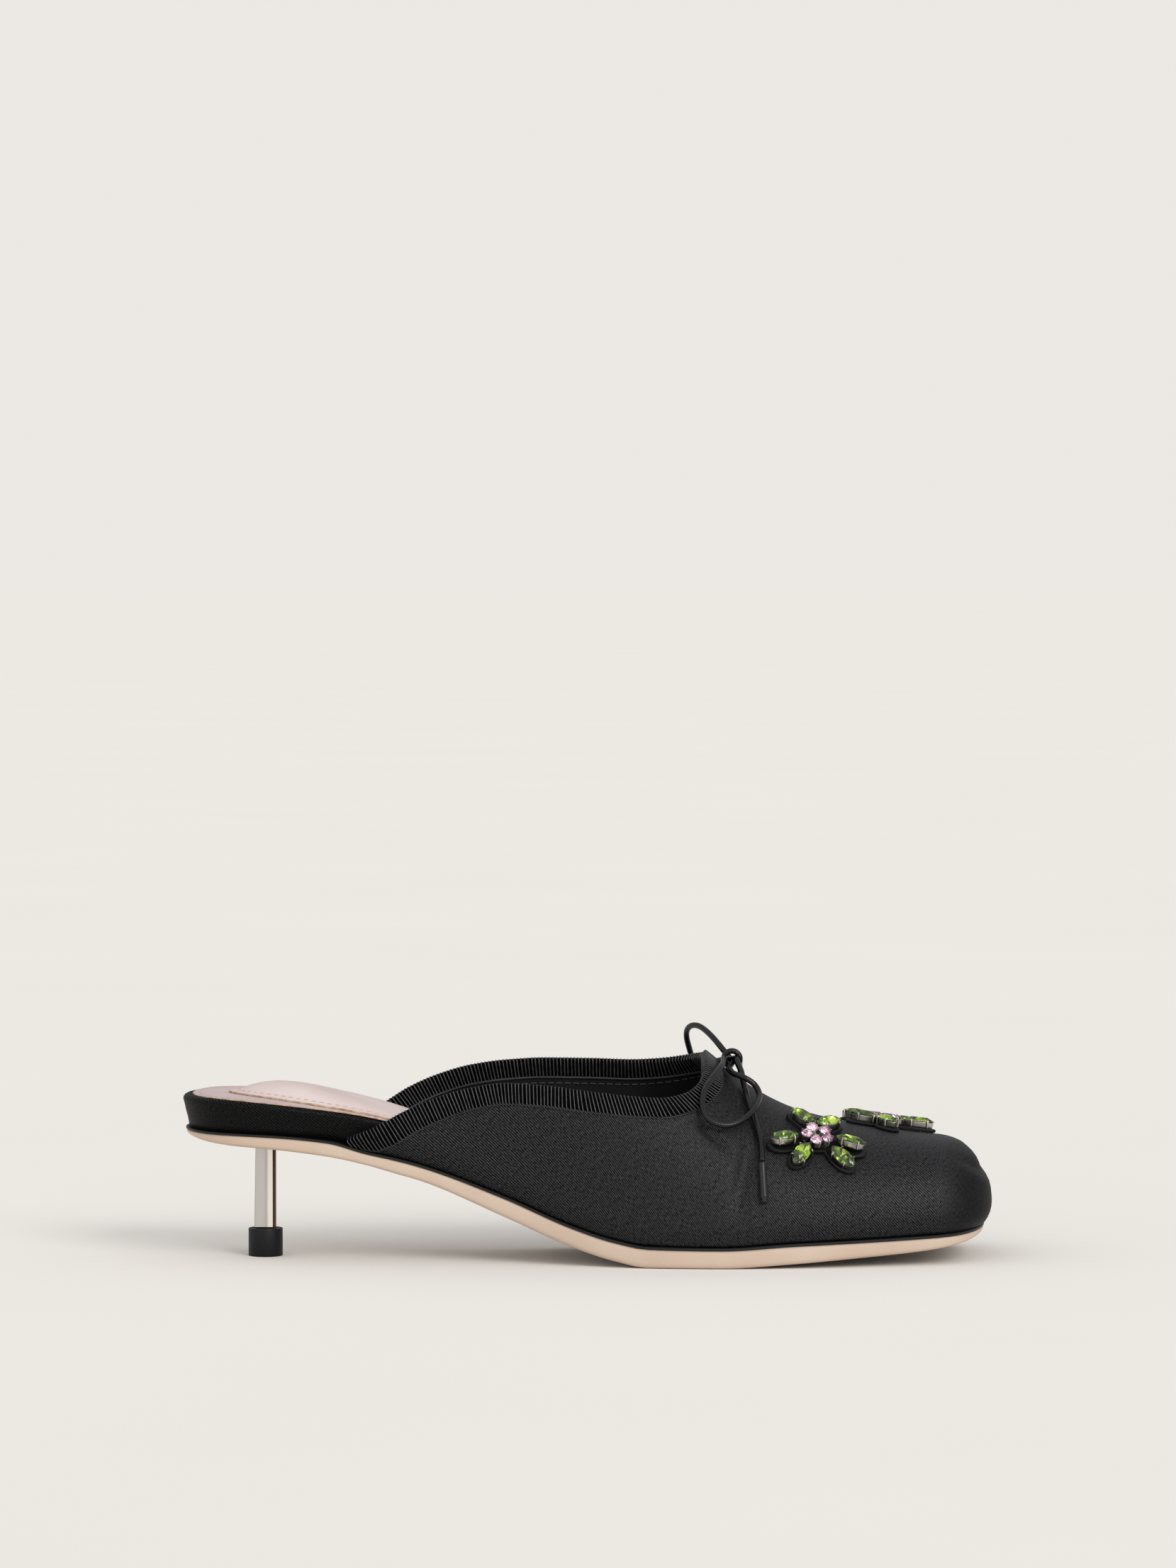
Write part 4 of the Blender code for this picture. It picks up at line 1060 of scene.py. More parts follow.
    def on_last(self, x: float, girth: float) -> np.ndarray:
        """Point of the last from its flat pattern; ahead of the toe point the pattern fans out.

        Args:
            x: place along the ridge.
            girth: way down from the ridge, negative on the lateral side.

        Returns:
            The point.
        """
        side = Side.LATERAL if girth < 0 else Side.MEDIAL
        station = self.station_of(x)
        reach = abs(girth)
        if x > self.toe_x:
            station = 2 - math.atan2(reach, x - self.toe_x) / (math.pi / 2)
            reach = math.hypot(x - self.toe_x, girth)
        points, length = self.wall(side, station)
        return at_run(length[-1] - reach, length, points)

    def evenly(self, places: Sequence[Point], count: int) -> list[Point]:
        """Space pattern places evenly over the last.

        Args:
            places: pattern places.
            count: steps wanted.

        Returns:
            The new places, first and final kept.
        """
        along = running([self.on_last(*place) for place in places])
        return list(at_run(np.linspace(0.0, along[-1], count + 1), along, np.array(places)))

    def topline(self, side: Side, wing_steps: int, front_steps: int) -> list[Point]:
        """Pattern places of the cut edge, wing tip to throat centre.

        Args:
            side: side of the shoe.
            wing_steps: steps along the wing.
            front_steps: steps along the throat.

        Returns:
            The places.
        """
        run = np.linspace(0.0, 1.0, 320)
        places = []
        for x in self.wing_x + (self.throat_x - self.wing_x) * (1 - (1 - run) ** 2):
            line, length = self.wall(side, self.station_of(x))
            cut = float(np.interp(COLLAR.at(side.label, x), line[:, 2], length))
            places.append((x, side.value * (length[-1] - cut)))
        corner = max(i for i, place in enumerate(places) if place[0] <= self.throat_corner_x)
        return self.evenly(places[:corner + 1], wing_steps) + self.evenly(places[corner:], front_steps)[1:]

    def feather(self, side: Side, wing_steps: int, front_steps: int) -> list[Point]:
        """Pattern places of the lower edge, wing foot to toe front.

        Args:
            side: side of the shoe.
            wing_steps: steps along the wing.
            front_steps: steps round the front.

        Returns:
            The places.
        """
        wing = []
        for x in np.linspace(self.wing_x, self.throat_foot_x, 120):
            wing.append((x, side.value * self.wall(side, self.station_of(x))[1][-1]))
        front = [wing[-1]]
        for station in np.linspace(self.station_of(self.throat_foot_x), 2, 240)[1:]:
            length = self.wall(side, station)[1][-1]
            if station <= 1:
                front.append((self.heel_x + (self.toe_x - self.heel_x) * station, side.value * length))
            else:
                turn = (2 - station) * math.pi / 2
                front.append((self.toe_x + length * math.cos(turn), side.value * length * math.sin(turn)))
        return self.evenly(wing, wing_steps) + self.evenly(front, front_steps)[1:]

    def lifted(self, point: Point, height: float) -> tuple[Vector, Vector]:
        """Nearest place on the last, lifted off it.

        Args:
            point: a point near the last.
            height: lift along the smooth outward normal.

        Returns:
            The lifted point and the normal.
        """
        place, _, index, _ = self.tree.find_nearest(Vector(point))
        corners = self.faces[index]
        shares = poly_3d_calc([self.places[c] for c in corners], place)
        normal = Vector()
        for corner, share in zip(corners, shares):
            normal += self.normals[corner] * share
        normal.normalize()
        return place + normal * height, normal

    def insole_top(self, x: float) -> float:
        """Height of the insole's upper face, pressed a little into the footbed."""
        return self.bed_top(x) + self.insole_sheet

    def rand_foot(self, x: float) -> float:
        """Height of the rand's lower face, just over the outsole."""
        return PROFILE.at("outsole_top", x) + self.gap

    def rand_head(self, x: float) -> float:
        """Height of the rand's upper edge; the board is skived thin toward the heel."""
        full = min(max((x - self.skive_from) / self.skive_run, 0.0), 1.0)
        share = self.skive_share + (1 - self.skive_share) * full
        return between(self.rand_foot, partial(PROFILE.at, "rand_top"), share)(x)

    def bed_top(self, x: float) -> float:
        """Height of the satin under the insole."""
        return PROFILE.at("footbed_top", x) - self.settle


def loft(name: str, rings: Sequence[Sequence[Point]]) -> bpy.types.Mesh:
    """Skin matched loops round the sole and close the two ends by rungs from side to side.

    Args:
        name: mesh name.
        rings: the loops.

    Returns:
        A closed mesh with a pattern map: way round the edge and height.
    """
    count = len(rings[0])
    points = [p for ring in rings for p in ring]
    faces = bands(len(rings), count)
    for start in (0, (len(rings) - 1) * count):
        for i in range(count // 2):
            rung = (i, i + 1, (count - i - 1) % count, (count - i) % count)
            faces.append(tuple(start + k for k in dict.fromkeys(rung)))
    data = mesh_of(name, points, faces)
    along = running(rings[0] + rings[0][:1])
    layer = data.uv_layers.new(name="pattern")
    for face in data.polygons:
        wraps = any(data.loops[k].vertex_index % count == count - 1 for k in face.loop_indices)
        for k in face.loop_indices:
            vertex = data.loops[k].vertex_index
            place = vertex % count
            layer.data[k].uv = (along[-1] if wraps and place == 0 else along[place], points[vertex][2])
    return mend(data)


def dashes(path: np.ndarray, stitch: float, gap: float, bow: float) -> list[np.ndarray]:
    """Cut a path into stitches that dip into the surface at both ends.

    Args:
        path: points of the row.
        stitch: length of a stitch.
        gap: space to the next one.
        bow: how far a stitch's middle stands over its ends.

    Returns:
        The lines of the stitches.
    """
    along = running(path)
    lines = []
    for start in np.arange(0.0, along[-1] - stitch, stitch + gap):
        line = at_run(start + stitch * np.linspace(0, 1, 5), along, path)
        line[:, 2] += bow * np.array((-1.0, 0.5, 1.0, 0.5, -1.0))
        lines.append(line)
    return lines


@dataclass
class Sole:
    """Outsole and rand; the rows of both edges give inset and share of the height."""

    last: Last
    finishes: Wardrobe
    edge: tuple[tuple[float, float], ...] = ((0.0030, 0.0), (0.0016, 0.02), (0.0009, 0.07), (0.0005, 0.16),
                                             (0.0003, 0.32), (0.0003, 0.8), (0.0004, 1.0))
    welt: tuple[tuple[float, float], ...] = ((0.0004, -0.3), (0.0001, -0.26), (0.0, -0.14), (0.0, 0.8),
                                             (0.0001, 0.92), (0.0003, 1.0), (0.0012, 1.0))
    welt_crease: float = 32.0

    def build(self) -> None:
        """Build and dress both pieces."""
        bottom, top = (partial(PROFILE.at, name) for name in ("outsole_bottom", "outsole_top"))
        rings = [self.last.ring(inset, between(bottom, top, share)) for inset, share in self.edge]
        data = loft("leather_outsole", rings)
        sides = len(rings[0]) * (len(rings) - 1)
        for face in data.polygons:
            face.material_index = int(sides <= face.index < sides + len(rings[0]) // 2)
        leathers = [self.finishes.nude, self.finishes.tread]
        add_piece("leather_outsole", data, leathers, ["outsole"])
        heights = self.last.rand_foot, self.last.rand_head
        rings = [self.last.ring(inset, between(*heights, share)) for inset, share in self.welt]
        data = loft("black_rand", rings)
        data.set_sharp_from_angle(angle=math.radians(self.welt_crease))
        add_piece("black_rand", data, [self.finishes.edge_paint], ["rand"])


@dataclass
class Footbed:
    """Satin-wrapped footbed, pink insole with its stitch row, and the heel pad."""

    last: Last
    finishes: Wardrobe
    threads: ThreadTree
    stitch: float = 1.45 * MM
    stitch_gap: float = 1.0 * MM
    thread_radius: float = 0.14 * MM
    thread_bow: float = 0.06 * MM
    bed_gap: float = 0.05 * MM
    row_inset: float = 2.0 * MM
    row_end: int = 40
    raw_bands: int = 3
    pad_edge: float = 0.6 * MM
    pad_middle: float = -0.0695
    pad_half: float = 0.0395
    pad_steps: int = 91
    pad_crown: float = 1.2
    pad_full_width: float = 0.014
    pad_fullness: float = 0.6
    pad_core: float = 0.35
    pad_row: tuple[float, float, float] = (0.9, 1.0, 0.2)

    def build(self) -> None:
        """Build and dress the pieces."""
        self.build_bed()
        self.build_insole()
        self.build_pad()

    def build_bed(self) -> None:
        """Wedge wrapped in satin, its upper edge rolled over; rows give flare, height and pull."""
        rows = ((0.0, 0.0, 0.0), (0.2, 0.25, 0.0), (0.55, 0.5, 0.0), (0.8, 0.72, 0.0), (0.97, 0.84, 0.0),
                (1.0, 0.9, 0.0001), (1.0, 0.95, 0.0004), (1.0, 0.985, 0.001), (1.0, 1.0, 0.0018))
        foot = lambda x: self.last.rand_head(x) + self.bed_gap
        flare = lambda x, share, pull: ((1 - share) * FOOTBED_INSET.at("foot", x)
                                        + share * FOOTBED_INSET.at("top", x) + pull)
        rings = [self.last.ring(partial(flare, share=share, pull=pull), between(foot, self.last.bed_top, rise))
                 for share, rise, pull in rows]
        data = loft("satin_footbed", rings)
        # The wall takes the darker copy of the satin: painted shade
        add_piece("satin_footbed", data, [self.finishes.shaded_satin], ["footbed"])

    def build_insole(self) -> None:
        """Leather sheet with a raw edge and a stitch row round it; rows give pull and height."""
        rows = ((0.0, 0.0), (-0.0001, 0.35), (0.0, 0.75), (0.0003, 0.95), (0.0009, 1.0))
        inset = lambda x, pull: INSOLE_INSET.at("edge", x) + pull
        height = lambda x, rise: self.last.bed_top(x) + rise * self.last.insole_sheet
        rings = [self.last.ring(partial(inset, pull=pull), partial(height, rise=rise)) for pull, rise in rows]
        self.add_leather("pink_insole", rings, self.finishes.sock, "insole")
        row = np.array(self.last.ring(partial(inset, pull=self.row_inset), self.last.insole_top))
        half = len(row) // 2
        self.sew("insole_stitches", np.concatenate([row[half + self.row_end:], row[:half - self.row_end]]))

    def add_leather(self, name: str, rings: Sequence[Sequence[Point]], finish: bpy.types.Material,
                    node: str) -> bpy.types.Object:
        """Hang a leather sheet whose side bands show the raw cut edge.

        Args:
            name: piece name.
            rings: its loops.
            finish: leather of its face.
            node: solid that it stands for.

        Returns:
            The piece.
        """
        data = loft(name, rings)
        for face in data.polygons:
            if face.index < len(rings[0]) * self.raw_bands:
                face.material_index = 1
        return add_piece(name, data, [finish, self.finishes.raw_edge], [node])

    def sew(self, name: str, path: np.ndarray) -> None:
        """Sew a row of stitches along a path."""
        lines = dashes(path, self.stitch, self.stitch_gap, self.thread_bow)
        self.threads.add(name, lines, self.thread_radius, 6, self.finishes.rose_thread, "pink_leather")

    def pad_ring(self, share: float, edge: float, crown: float) -> list[Point]:
        """Loop of the heel pad.

        Args:
            share: part of the full width.
            edge: part of the edge's height.
            crown: part of the crown's height.

        Returns:
            The loop's points.
        """
        stations = self.pad_middle - self.pad_half * np.cos(np.linspace(0, math.pi, self.pad_steps))
        halves = {side: [] for side in Side}
        for side, half in halves.items():
            for x in stations:
                centre = self.pad_middle + (x - self.pad_middle) * (self.pad_core + (1 - self.pad_core) * share)
                z = self.last.insole_top(centre) + self.pad_edge * edge
                fuller = 0.0
                if side is Side.MEDIAL:
                    fuller = self.pad_crown * (crown / self.pad_crown) ** self.pad_fullness - crown
                rise = crown + fuller * min(HEEL_PAD.at("medial", x) / self.pad_full_width, 1.0)
                half.append((centre, side.value * HEEL_PAD.at(side.label, x) * share,
                             z + HEEL_PAD.at("crown", centre) * rise))
        lateral, medial = halves.values()
        ends = [(x, 0.0, z) for x, _, z in (lateral[0], lateral[-1])]
        return ends[:1] + lateral[1:-1] + ends[1:] + medial[-2:0:-1]

    def build_pad(self) -> None:
        """Padded heel sock: raw edge, a sewn dip inside it and a soft crown."""
        rows = ((1.0, 0.0, 0.0), (1.004, 0.4, 0.0), (1.0, 0.85, 0.0), (0.985, 1.0, 0.0), (0.94, 1.02, 0.1),
                (0.9, 0.98, 0.2), (0.86, 1.06, 0.36), (0.78, 1.1, 0.62), (0.66, 1.1, 0.88), (0.5, 1.1, 1.08),
                (0.32, 1.1, 1.18), (0.15, 1.1, self.pad_crown))
        rings = [self.pad_ring(*row) for row in rows]
        piece = self.add_leather("pink_heel_pad", rings, self.finishes.pink, "heel_pad")
        row = self.pad_ring(*self.pad_row)
        self.sew("heel_pad_stitches", np.array(row + row[:1]))


@dataclass
class Heel:
    """Steel pin and rubber tip."""

    finishes: Wardrobe
    x: float = -0.0980
    left_top: float = -0.1009
    left_foot: float = -0.1013
    ridge: float = -0.0974
    flank: float = -0.0957
    right: float = -0.0948
    depth: float = 0.0058
    pin_crease: float = 25.0
    corner_steps: int = 7
    tip_radius: float = 0.0052
    tip_height: float = 0.0084
    tip_steps: int = 72
    tip_crease: float = 35.0
    gap: float = 0.0003

    def build(self) -> None:
        """Build and dress both pieces."""
        self.build_pin()
        self.build_tip()

    def pin_loop(self, left: float, inset: float) -> list[Point]:
        """Loop of the bar: a broad side, a narrow one, a ground-down flank, and the same behind.

        Args:
            left: x of its left side.
            inset: how far it is pulled in.

        Returns:
            The loop's points.
        """
        low, high, deep = left + inset, self.right - inset, self.depth / 2 - inset
        front = (((low, 0.3 * MM - deep), 0.4), ((self.ridge, -deep), 0.9), ((self.flank, 0.3 * MM - deep), 0.1),
                 ((high, 1.5 * MM - deep), 0.25))
        corners = front + tuple(((x, -y), soft) for (x, y), soft in front[::-1])
        points = []
        for i, (corner, soft) in enumerate(corners):
            here = np.array(corner)
            before = np.array(corners[i - 1][0]) - here
            after = np.array(corners[(i + 1) % len(corners)][0]) - here
            start = here + before / np.linalg.norm(before) * soft * MM
            finish = here + after / np.linalg.norm(after) * soft * MM
            for u in np.linspace(0, 1, self.corner_steps):
                x, y = (1 - u) ** 2 * start + 2 * u * (1 - u) * here + u * u * finish
                points.append((x, y, 0.0))
        return points

    def build_pin(self) -> None:
        """Bar that widens a little toward its foot and meets the sole's slope."""
        low = self.tip_height + self.gap
        sole = partial(PROFILE.at, "outsole_bottom")
        high = sole(self.x) - 2 * self.gap
        rings = []
        for share, inset in ((0.0, 0.0002), (0.008, 0.0), (0.25, 0.0), (0.5, 0.0), (0.75, 0.0), (1.0, 0.0)):
            ring = self.pin_loop(self.left_foot + (self.left_top - self.left_foot) * share, inset)
            rings.append([(x, y, low + (high - low) * share + share * (sole(x) - sole(self.x)))
                          for x, y, _ in ring])
        data = stacked("steel_pin", rings)
        data.set_sharp_from_angle(angle=math.radians(self.pin_crease))
        add_piece("steel_pin", data, [self.finishes.steel], ["heel_pin"])

    def build_tip(self) -> None:
        """Turned rubber tip with a soft rim and a slight dish on top; rows give way in and height."""
        radius, height = self.tip_radius, self.tip_height
        rows = ((radius, 0.0), (0.00025, 0.0), (0.00006, 0.00006), (0.0, 0.00025), (0.0, height - 0.00018),
                (0.00005, height - 0.00005), (0.00018, height), (0.0009, height), (0.0011, height - 0.00012),
                (radius, height - 0.00012))
        turns = [2 * math.pi * i / self.tip_steps for i in range(self.tip_steps)]
        rings = [[(self.x + (radius - way_in) * math.cos(turn), (radius - way_in) * math.sin(turn), z)
                  for turn in turns] for way_in, z in rows]
        data = stacked("rubber_tip", rings, closed=False)
        data.set_sharp_from_angle(angle=math.radians(self.tip_crease))
        add_piece("rubber_tip", data, [self.finishes.rubber], ["heel_tip"])


@dataclass(frozen=True)
class Crease:
    """Soft trough or ridge on the flat pattern, from one place to another."""

    start: tuple[float, float]
    finish: tuple[float, float]
    width: float
    depth: float

    def lift(self, x: np.ndarray, girth: np.ndarray) -> np.ndarray:
        """Height that the crease adds.

        Args:
            x: pattern places along the ridge.
            girth: pattern places down from it.

        Returns:
            Lift at each place, negative in a trough.
        """
        start, finish = np.array(self.start), np.array(self.finish)
        way = finish - start
        offset = np.stack([x - start[0], girth - start[1]], axis=-1)
        along = np.clip(offset @ way / (way @ way), 0, 1)
        away = np.linalg.norm(offset - along[..., None] * way, axis=-1)
        fade = np.sin(math.pi * (0.08 + 0.84 * along))
        return self.depth * fade * np.exp(-(away / self.width) ** 2)


@dataclass
class Upper:
    """Satin vamp with two wings: outer cloth, lining and cut edges."""

    last: Last
    finishes: Wardrobe
    wall: float = 1.6 * MM
    steps: tuple[int, int] = (110, 64)
    rows: int = 56
    crowding: float = 0.05
    smoothing: tuple[float, ...] = (0.5, -0.53) * 4
    fold_fade: float = 1.3
    creases: tuple[Crease, ...] = (Crease((0.0436, -0.012), (0.0478, -0.021), 3.0 * MM, 0.3 * MM),
                                   Crease((0.0410, -0.015), (0.0448, -0.027), 3.0 * MM, -0.35 * MM),
                                   Crease((0.0494, -0.034), (0.0440, -0.062), 2.2 * MM, -1.3 * MM),
                                   Crease((0.0326, -0.041), (0.0416, -0.043), 2.2 * MM, -1.1 * MM))

    def build(self) -> None:
        """Build and dress the upper."""
        lateral, medial = (list(zip(self.last.topline(side, *self.steps), self.last.feather(side, *self.steps)))
                           for side in Side)
        columns = lateral + medial[-2::-1]
        level = np.linspace(0, 1, self.rows + 1)
        level = level - self.crowding * np.sin(2 * math.pi * level)
        edge, foot = np.array(columns).transpose(1, 0, 2)
        pattern = edge[:, None, :] + (foot - edge)[:, None, :] * level[None, :, None]
        outer = np.array([[self.last.on_last(*place) for place in column] for column in pattern])
        for share in self.smoothing:
            near = outer[:-2, 1:-1] + outer[2:, 1:-1] + outer[1:-1, :-2] + outer[1:-1, 2:]
            outer[1:-1, 1:-1] += share * (near / 4 - outer[1:-1, 1:-1])
        across = np.gradient(outer, axis=0)
        down = np.gradient(outer, axis=1)
        normal = np.cross(down, across)
        normal /= np.linalg.norm(normal, axis=-1, keepdims=True)
        middle = normal[len(columns) // 2, self.rows // 2]
        if middle[0] < 0:
            normal = -normal
        lift = sum((c.lift(pattern[..., 0], pattern[..., 1]) for c in self.creases), np.zeros(pattern.shape[:2]))
        lift = lift + self.toe_lift(pattern[..., 0], pattern[..., 1])
        outer = outer + normal * lift[..., None]
        inner = outer - normal * self.wall
        add_piece("satin_upper", self.mesh(pattern, outer, inner), [self.finishes.satin, self.finishes.lining],
                  ["upper"])

    def toe_lift(self, x: np.ndarray, girth: np.ndarray) -> np.ndarray:
        """Fold across the toe's front where the cloth is drawn over the stiff toe puff.

        Args:
            x: pattern places along the ridge.
            girth: pattern places down from it.

        Returns:
            Lift at each place, negative in the fold.
        """
        ahead = np.maximum(x - self.last.toe_x, 0.0)
        reach = np.hypot(ahead, girth)
        swing = np.arctan2(np.abs(girth), np.maximum(ahead, 1e-9))
        fade = np.where(ahead > 0, np.cos(swing) ** self.fold_fade, 0.0)
        return np.vectorize(partial(TOE_FOLD.at, "lift"))(reach) * fade

    def mesh(self, pattern: np.ndarray, outer: np.ndarray, inner: np.ndarray) -> bpy.types.Mesh:
        """Join outer cloth, lining and edges.

        Args:
            pattern: flat pattern places, column by row.
            outer: points of the cloth.
            inner: points of the lining.

        Returns:
            A closed mesh with the pattern as its map; the lining has the second finish.
        """
        columns, rows = outer.shape[:2]
        total = columns * rows
        points = np.concatenate([outer.reshape(-1, 3), inner.reshape(-1, 3)])
        faces = []
        for quad in grid(columns, rows):
            faces += [quad, tuple(total + k for k in reversed(quad))]
        rim = [i * rows for i in range(columns)]
        rim += [(columns - 1) * rows + row for row in range(1, rows)]
        rim += [i * rows + rows - 1 for i in range(columns - 2, -1, -1)]
        rim += list(range(rows - 2, 0, -1))
        for first, second in zip(rim, rim[1:] + rim[:1]):
            faces.append((second, first, total + first, total + second))
        data = mesh_of("satin_upper", points, faces, np.concatenate([pattern.reshape(-1, 2)] * 2))
        for face in data.polygons:
            face.material_index = int(min(face.vertices) >= total)
        return mend(data, 1e-9)


@dataclass
class Binding:
    """Grosgrain ribbon folded over the topline, its ribs and its stitching."""

    last: Last
    finishes: Wardrobe
    threads: ThreadTree
    wall: float = 1.6 * MM
    gap: float = 0.18 * MM
    inner_depth: float = 5.5 * MM
    rib_pitch: float = 1.1 * MM
    rib_radius: float = 0.2 * MM
    rib_lift: float = 0.26 * MM
    rib_slip: float = 0.04 * MM
    rib_longer: float = 0.2 * MM
    rib_margins: tuple[float, float] = (0.6 * MM, 0.5 * MM)
    rib_least: float = 1.0 * MM
    rib_seed: int = 7
    ground_lift: float = 0.12 * MM
    ground_sink: float = 0.08 * MM
    steepest: float = 0.2
    least_outer: float = 0.6 * MM
    least_inner: float = 0.5 * MM
    fold_foot: float = 0.3 * MM
    fold_top: float = 0.4
    fold_round: float = 0.9
    tail_length: float = 3.2 * MM
    tail_slope: float = 0.5
    tail_rows: int = 9
    medial_lean: float = 0.06
    end_clear: float = 1.0 * MM
    end_sink: float = 0.2 * MM
    end_run: float = 2.0 * MM
    steps: int = 330
    scallops: int = 6
    edge_radius: float = 0.17 * MM
    edge_margin: float = 2 * MM
    edge_least: float = 4 * MM
    edge_lift: float = 0.3 * MM
    edge_drop: tuple[float, float] = (0.05, 0.5)
    edge_slack: float = 0.2
    edge_seed: int = 11
    row_margin: float = 1.0 * MM
    row_step: float = 0.5 * MM
    row_least: float = 5 * MM
    stitch: tuple[float, float, float] = (1.7 * MM, 0.9 * MM, 0.05 * MM)
    stitch_drop: float = 2.1 * MM
    stitch_sink: float = 0.1 * MM
    stitch_radius: float = 0.24 * MM
    welt_drop: float = 0.2 * MM
    welt_sink: float = 0.3 * MM
    welt_radius: float = 0.34 * MM

    def build(self) -> None:
        """Build and dress the ribbon."""
        self.find_path()
        self.build_band()
        self.build_ribs()
        self.build_stitching()

    def find_path(self) -> None:
        """Follow the topline from the lateral wing round the throat to the medial wing."""
        places = self.last.topline(Side.LATERAL, 220, 90) + self.last.topline(Side.MEDIAL, 220, 90)[-2::-1]
        points = np.array(self.tail(Side.LATERAL) + [self.last.on_last(*place) for place in places]
                          + self.tail(Side.MEDIAL)[::-1])
        clear = np.array([p[2] - self.last.rand_head(p[0]) for p in points])
        self.points = points[clear > self.end_clear]
        self.along = running(self.points)

    def tail(self, side: Side) -> list[np.ndarray]:
        """Points past the wing tip, where the ribbon runs on down to the rand.

        Args:
            side: side of the shoe.

        Returns:
            The points, lowest first.
        """
        points = []
        for x in np.linspace(self.last.wing_x - self.tail_length, self.last.wing_x, self.tail_rows)[:-1]:
            line, length = self.last.wall(side, self.last.station_of(x))
            height = COLLAR.at(side.label, self.last.wing_x) + self.tail_slope * (x - self.last.wing_x)
            at = np.interp(max(height, line[0, 2] + 0.1 * MM), line[:, 2], length)
            points.append(at_run(at, length, line))
        return points

    def spot(self, at: float) -> Vector:
        """Point of the path at a running length."""
        return Vector(at_run(at, self.along, self.points))

    def rib_way(self, at: float, point: Vector, down: Vector) -> Vector:
        """Way down a rib, which leans from the way down the wall toward the toe.

        Args:
            at: running length.
            point: point of the topline.
            down: way down the wall.

        Returns:
            The direction, one unit deep.
        """
        ahead = (self.spot(at + 1 * MM) - self.spot(at - 1 * MM)).normalized()
        lean = RIBBON.at("lean", point.x) if point.y < 0 else self.medial_lean
        return down + ahead * math.copysign(lean, ahead.x)

    def station(self, at: float) -> tuple[Vector, Vector]:
        """Point of the topline and the way down the wall there.

        Args:
            at: running length.

        Returns:
            The point and the downward direction.
        """
        point = self.spot(at)
        ahead = (self.spot(at + 1.5 * MM) - self.spot(at - 1.5 * MM)).normalized()
        _, normal = self.last.lifted(point, 0.0)
        down = normal.cross(ahead).normalized()
        if down.z > 0:
            down = -down
        return point, down

    def depths(self, point: Vector, down: Vector) -> tuple[float, float]:
        """Depth of the outer and the inner leg, cut short at the rand and the insole.

        Args:
            point: point of the topline.
            down: way down the wall.

        Returns:
            Outer and inner depth.
        """
        rand = partial(PROFILE.at, "rand_top")
        slope = (rand(point.x + self.last.taper_step) - rand(point.x)) / self.last.taper_step
        floor = rand(point.x) + self.last.gap
        room = (point.z - floor) / max(slope * down.x - down.z, self.steepest)
        bed = self.last.insole_top(point.x) + self.last.gap
        inner = max((point.z - bed) / max(-down.z, self.steepest), self.least_inner)
        return min(RIBBON.at("depth", point.x), max(room, self.least_outer)), min(self.inner_depth, inner)

    def section(self, point: Vector, down: Vector, lift: float, ends: float = 0.0) -> list[Vector]:
        """Line over the fold from the outer leg's foot to the inner leg's foot.

        Args:
            point: point of the topline.
            down: way down the wall.
            lift: height over the ribbon's seat.
            ends: how much longer the legs are.

        Returns:
            The points of the line.
        """
        outer, inner = self.depths(point, down)
        out, inward = self.gap + lift, -(self.wall + self.gap + lift)
        top = -(self.gap + lift) * self.fold_top
        rows = [(outer + ends, out), *((outer * share, out) for share in (0.75, 0.5, 0.25)), (self.fold_foot, out)]
        middle = (out + inward) / 2
        for angle in (30, 60, 90, 120, 150):
            turn = math.radians(angle)
            rows.append((top * math.sin(turn) * self.fold_round, middle + (out - middle) * math.cos(turn)))
        rows += [(self.fold_foot, inward), (inner * 0.35, inward), (inner * 0.7, inward), (inner + ends, inward)]
        return [self.last.lifted(point + down * depth, height)[0] for depth, height in rows]

    def build_band(self) -> None:
        """Closed band under the ribs."""
        lines = []
        for at in np.linspace(0.0, self.along[-1], self.steps):
            point, down = self.station(at)
            near = min(at, self.along[-1] - at, self.end_run)
            sunk = (1 - near / self.end_run) * self.end_sink
            outside = self.section(point, down, self.ground_lift - sunk)
            inside = self.section(point, down, -self.ground_sink - sunk)
            lines.append(outside + inside[::-1])
        count = len(lines[0])
        faces = bands(len(lines), count)
        for start in (0, (len(lines) - 1) * count):
            faces += [(start + i, start + i + 1, start + count - i - 2, start + count - i - 1)
                      for i in range(count // 2 - 1)]
        data = mend(mesh_of("grosgrain_band", [p for line in lines for p in line], faces))
        # The band takes the near-black ground: painted shade in the grooves between the ribs
        add_piece("grosgrain_band", data, [self.finishes.ground], ["collar_binding"])

    def build_ribs(self) -> None:
        """One rib after another over the fold, each a little uneven."""
        random = np.random.default_rng(self.rib_seed)
        first, last = self.rib_margins
        lines = []
        for at in np.arange(first, self.along[-1] - last, self.rib_pitch):
            point, down = self.station(at + random.normal(0, self.rib_slip))
            way = self.rib_way(at, point, down)
            if self.depths(point, way)[0] > self.rib_least:
                lines.append(self.section(point, way, self.rib_lift, random.uniform(0.0, self.rib_longer)))
        self.threads.add("grosgrain_ribs", lines, self.rib_radius, 8, self.finishes.ribbon, "grosgrain")

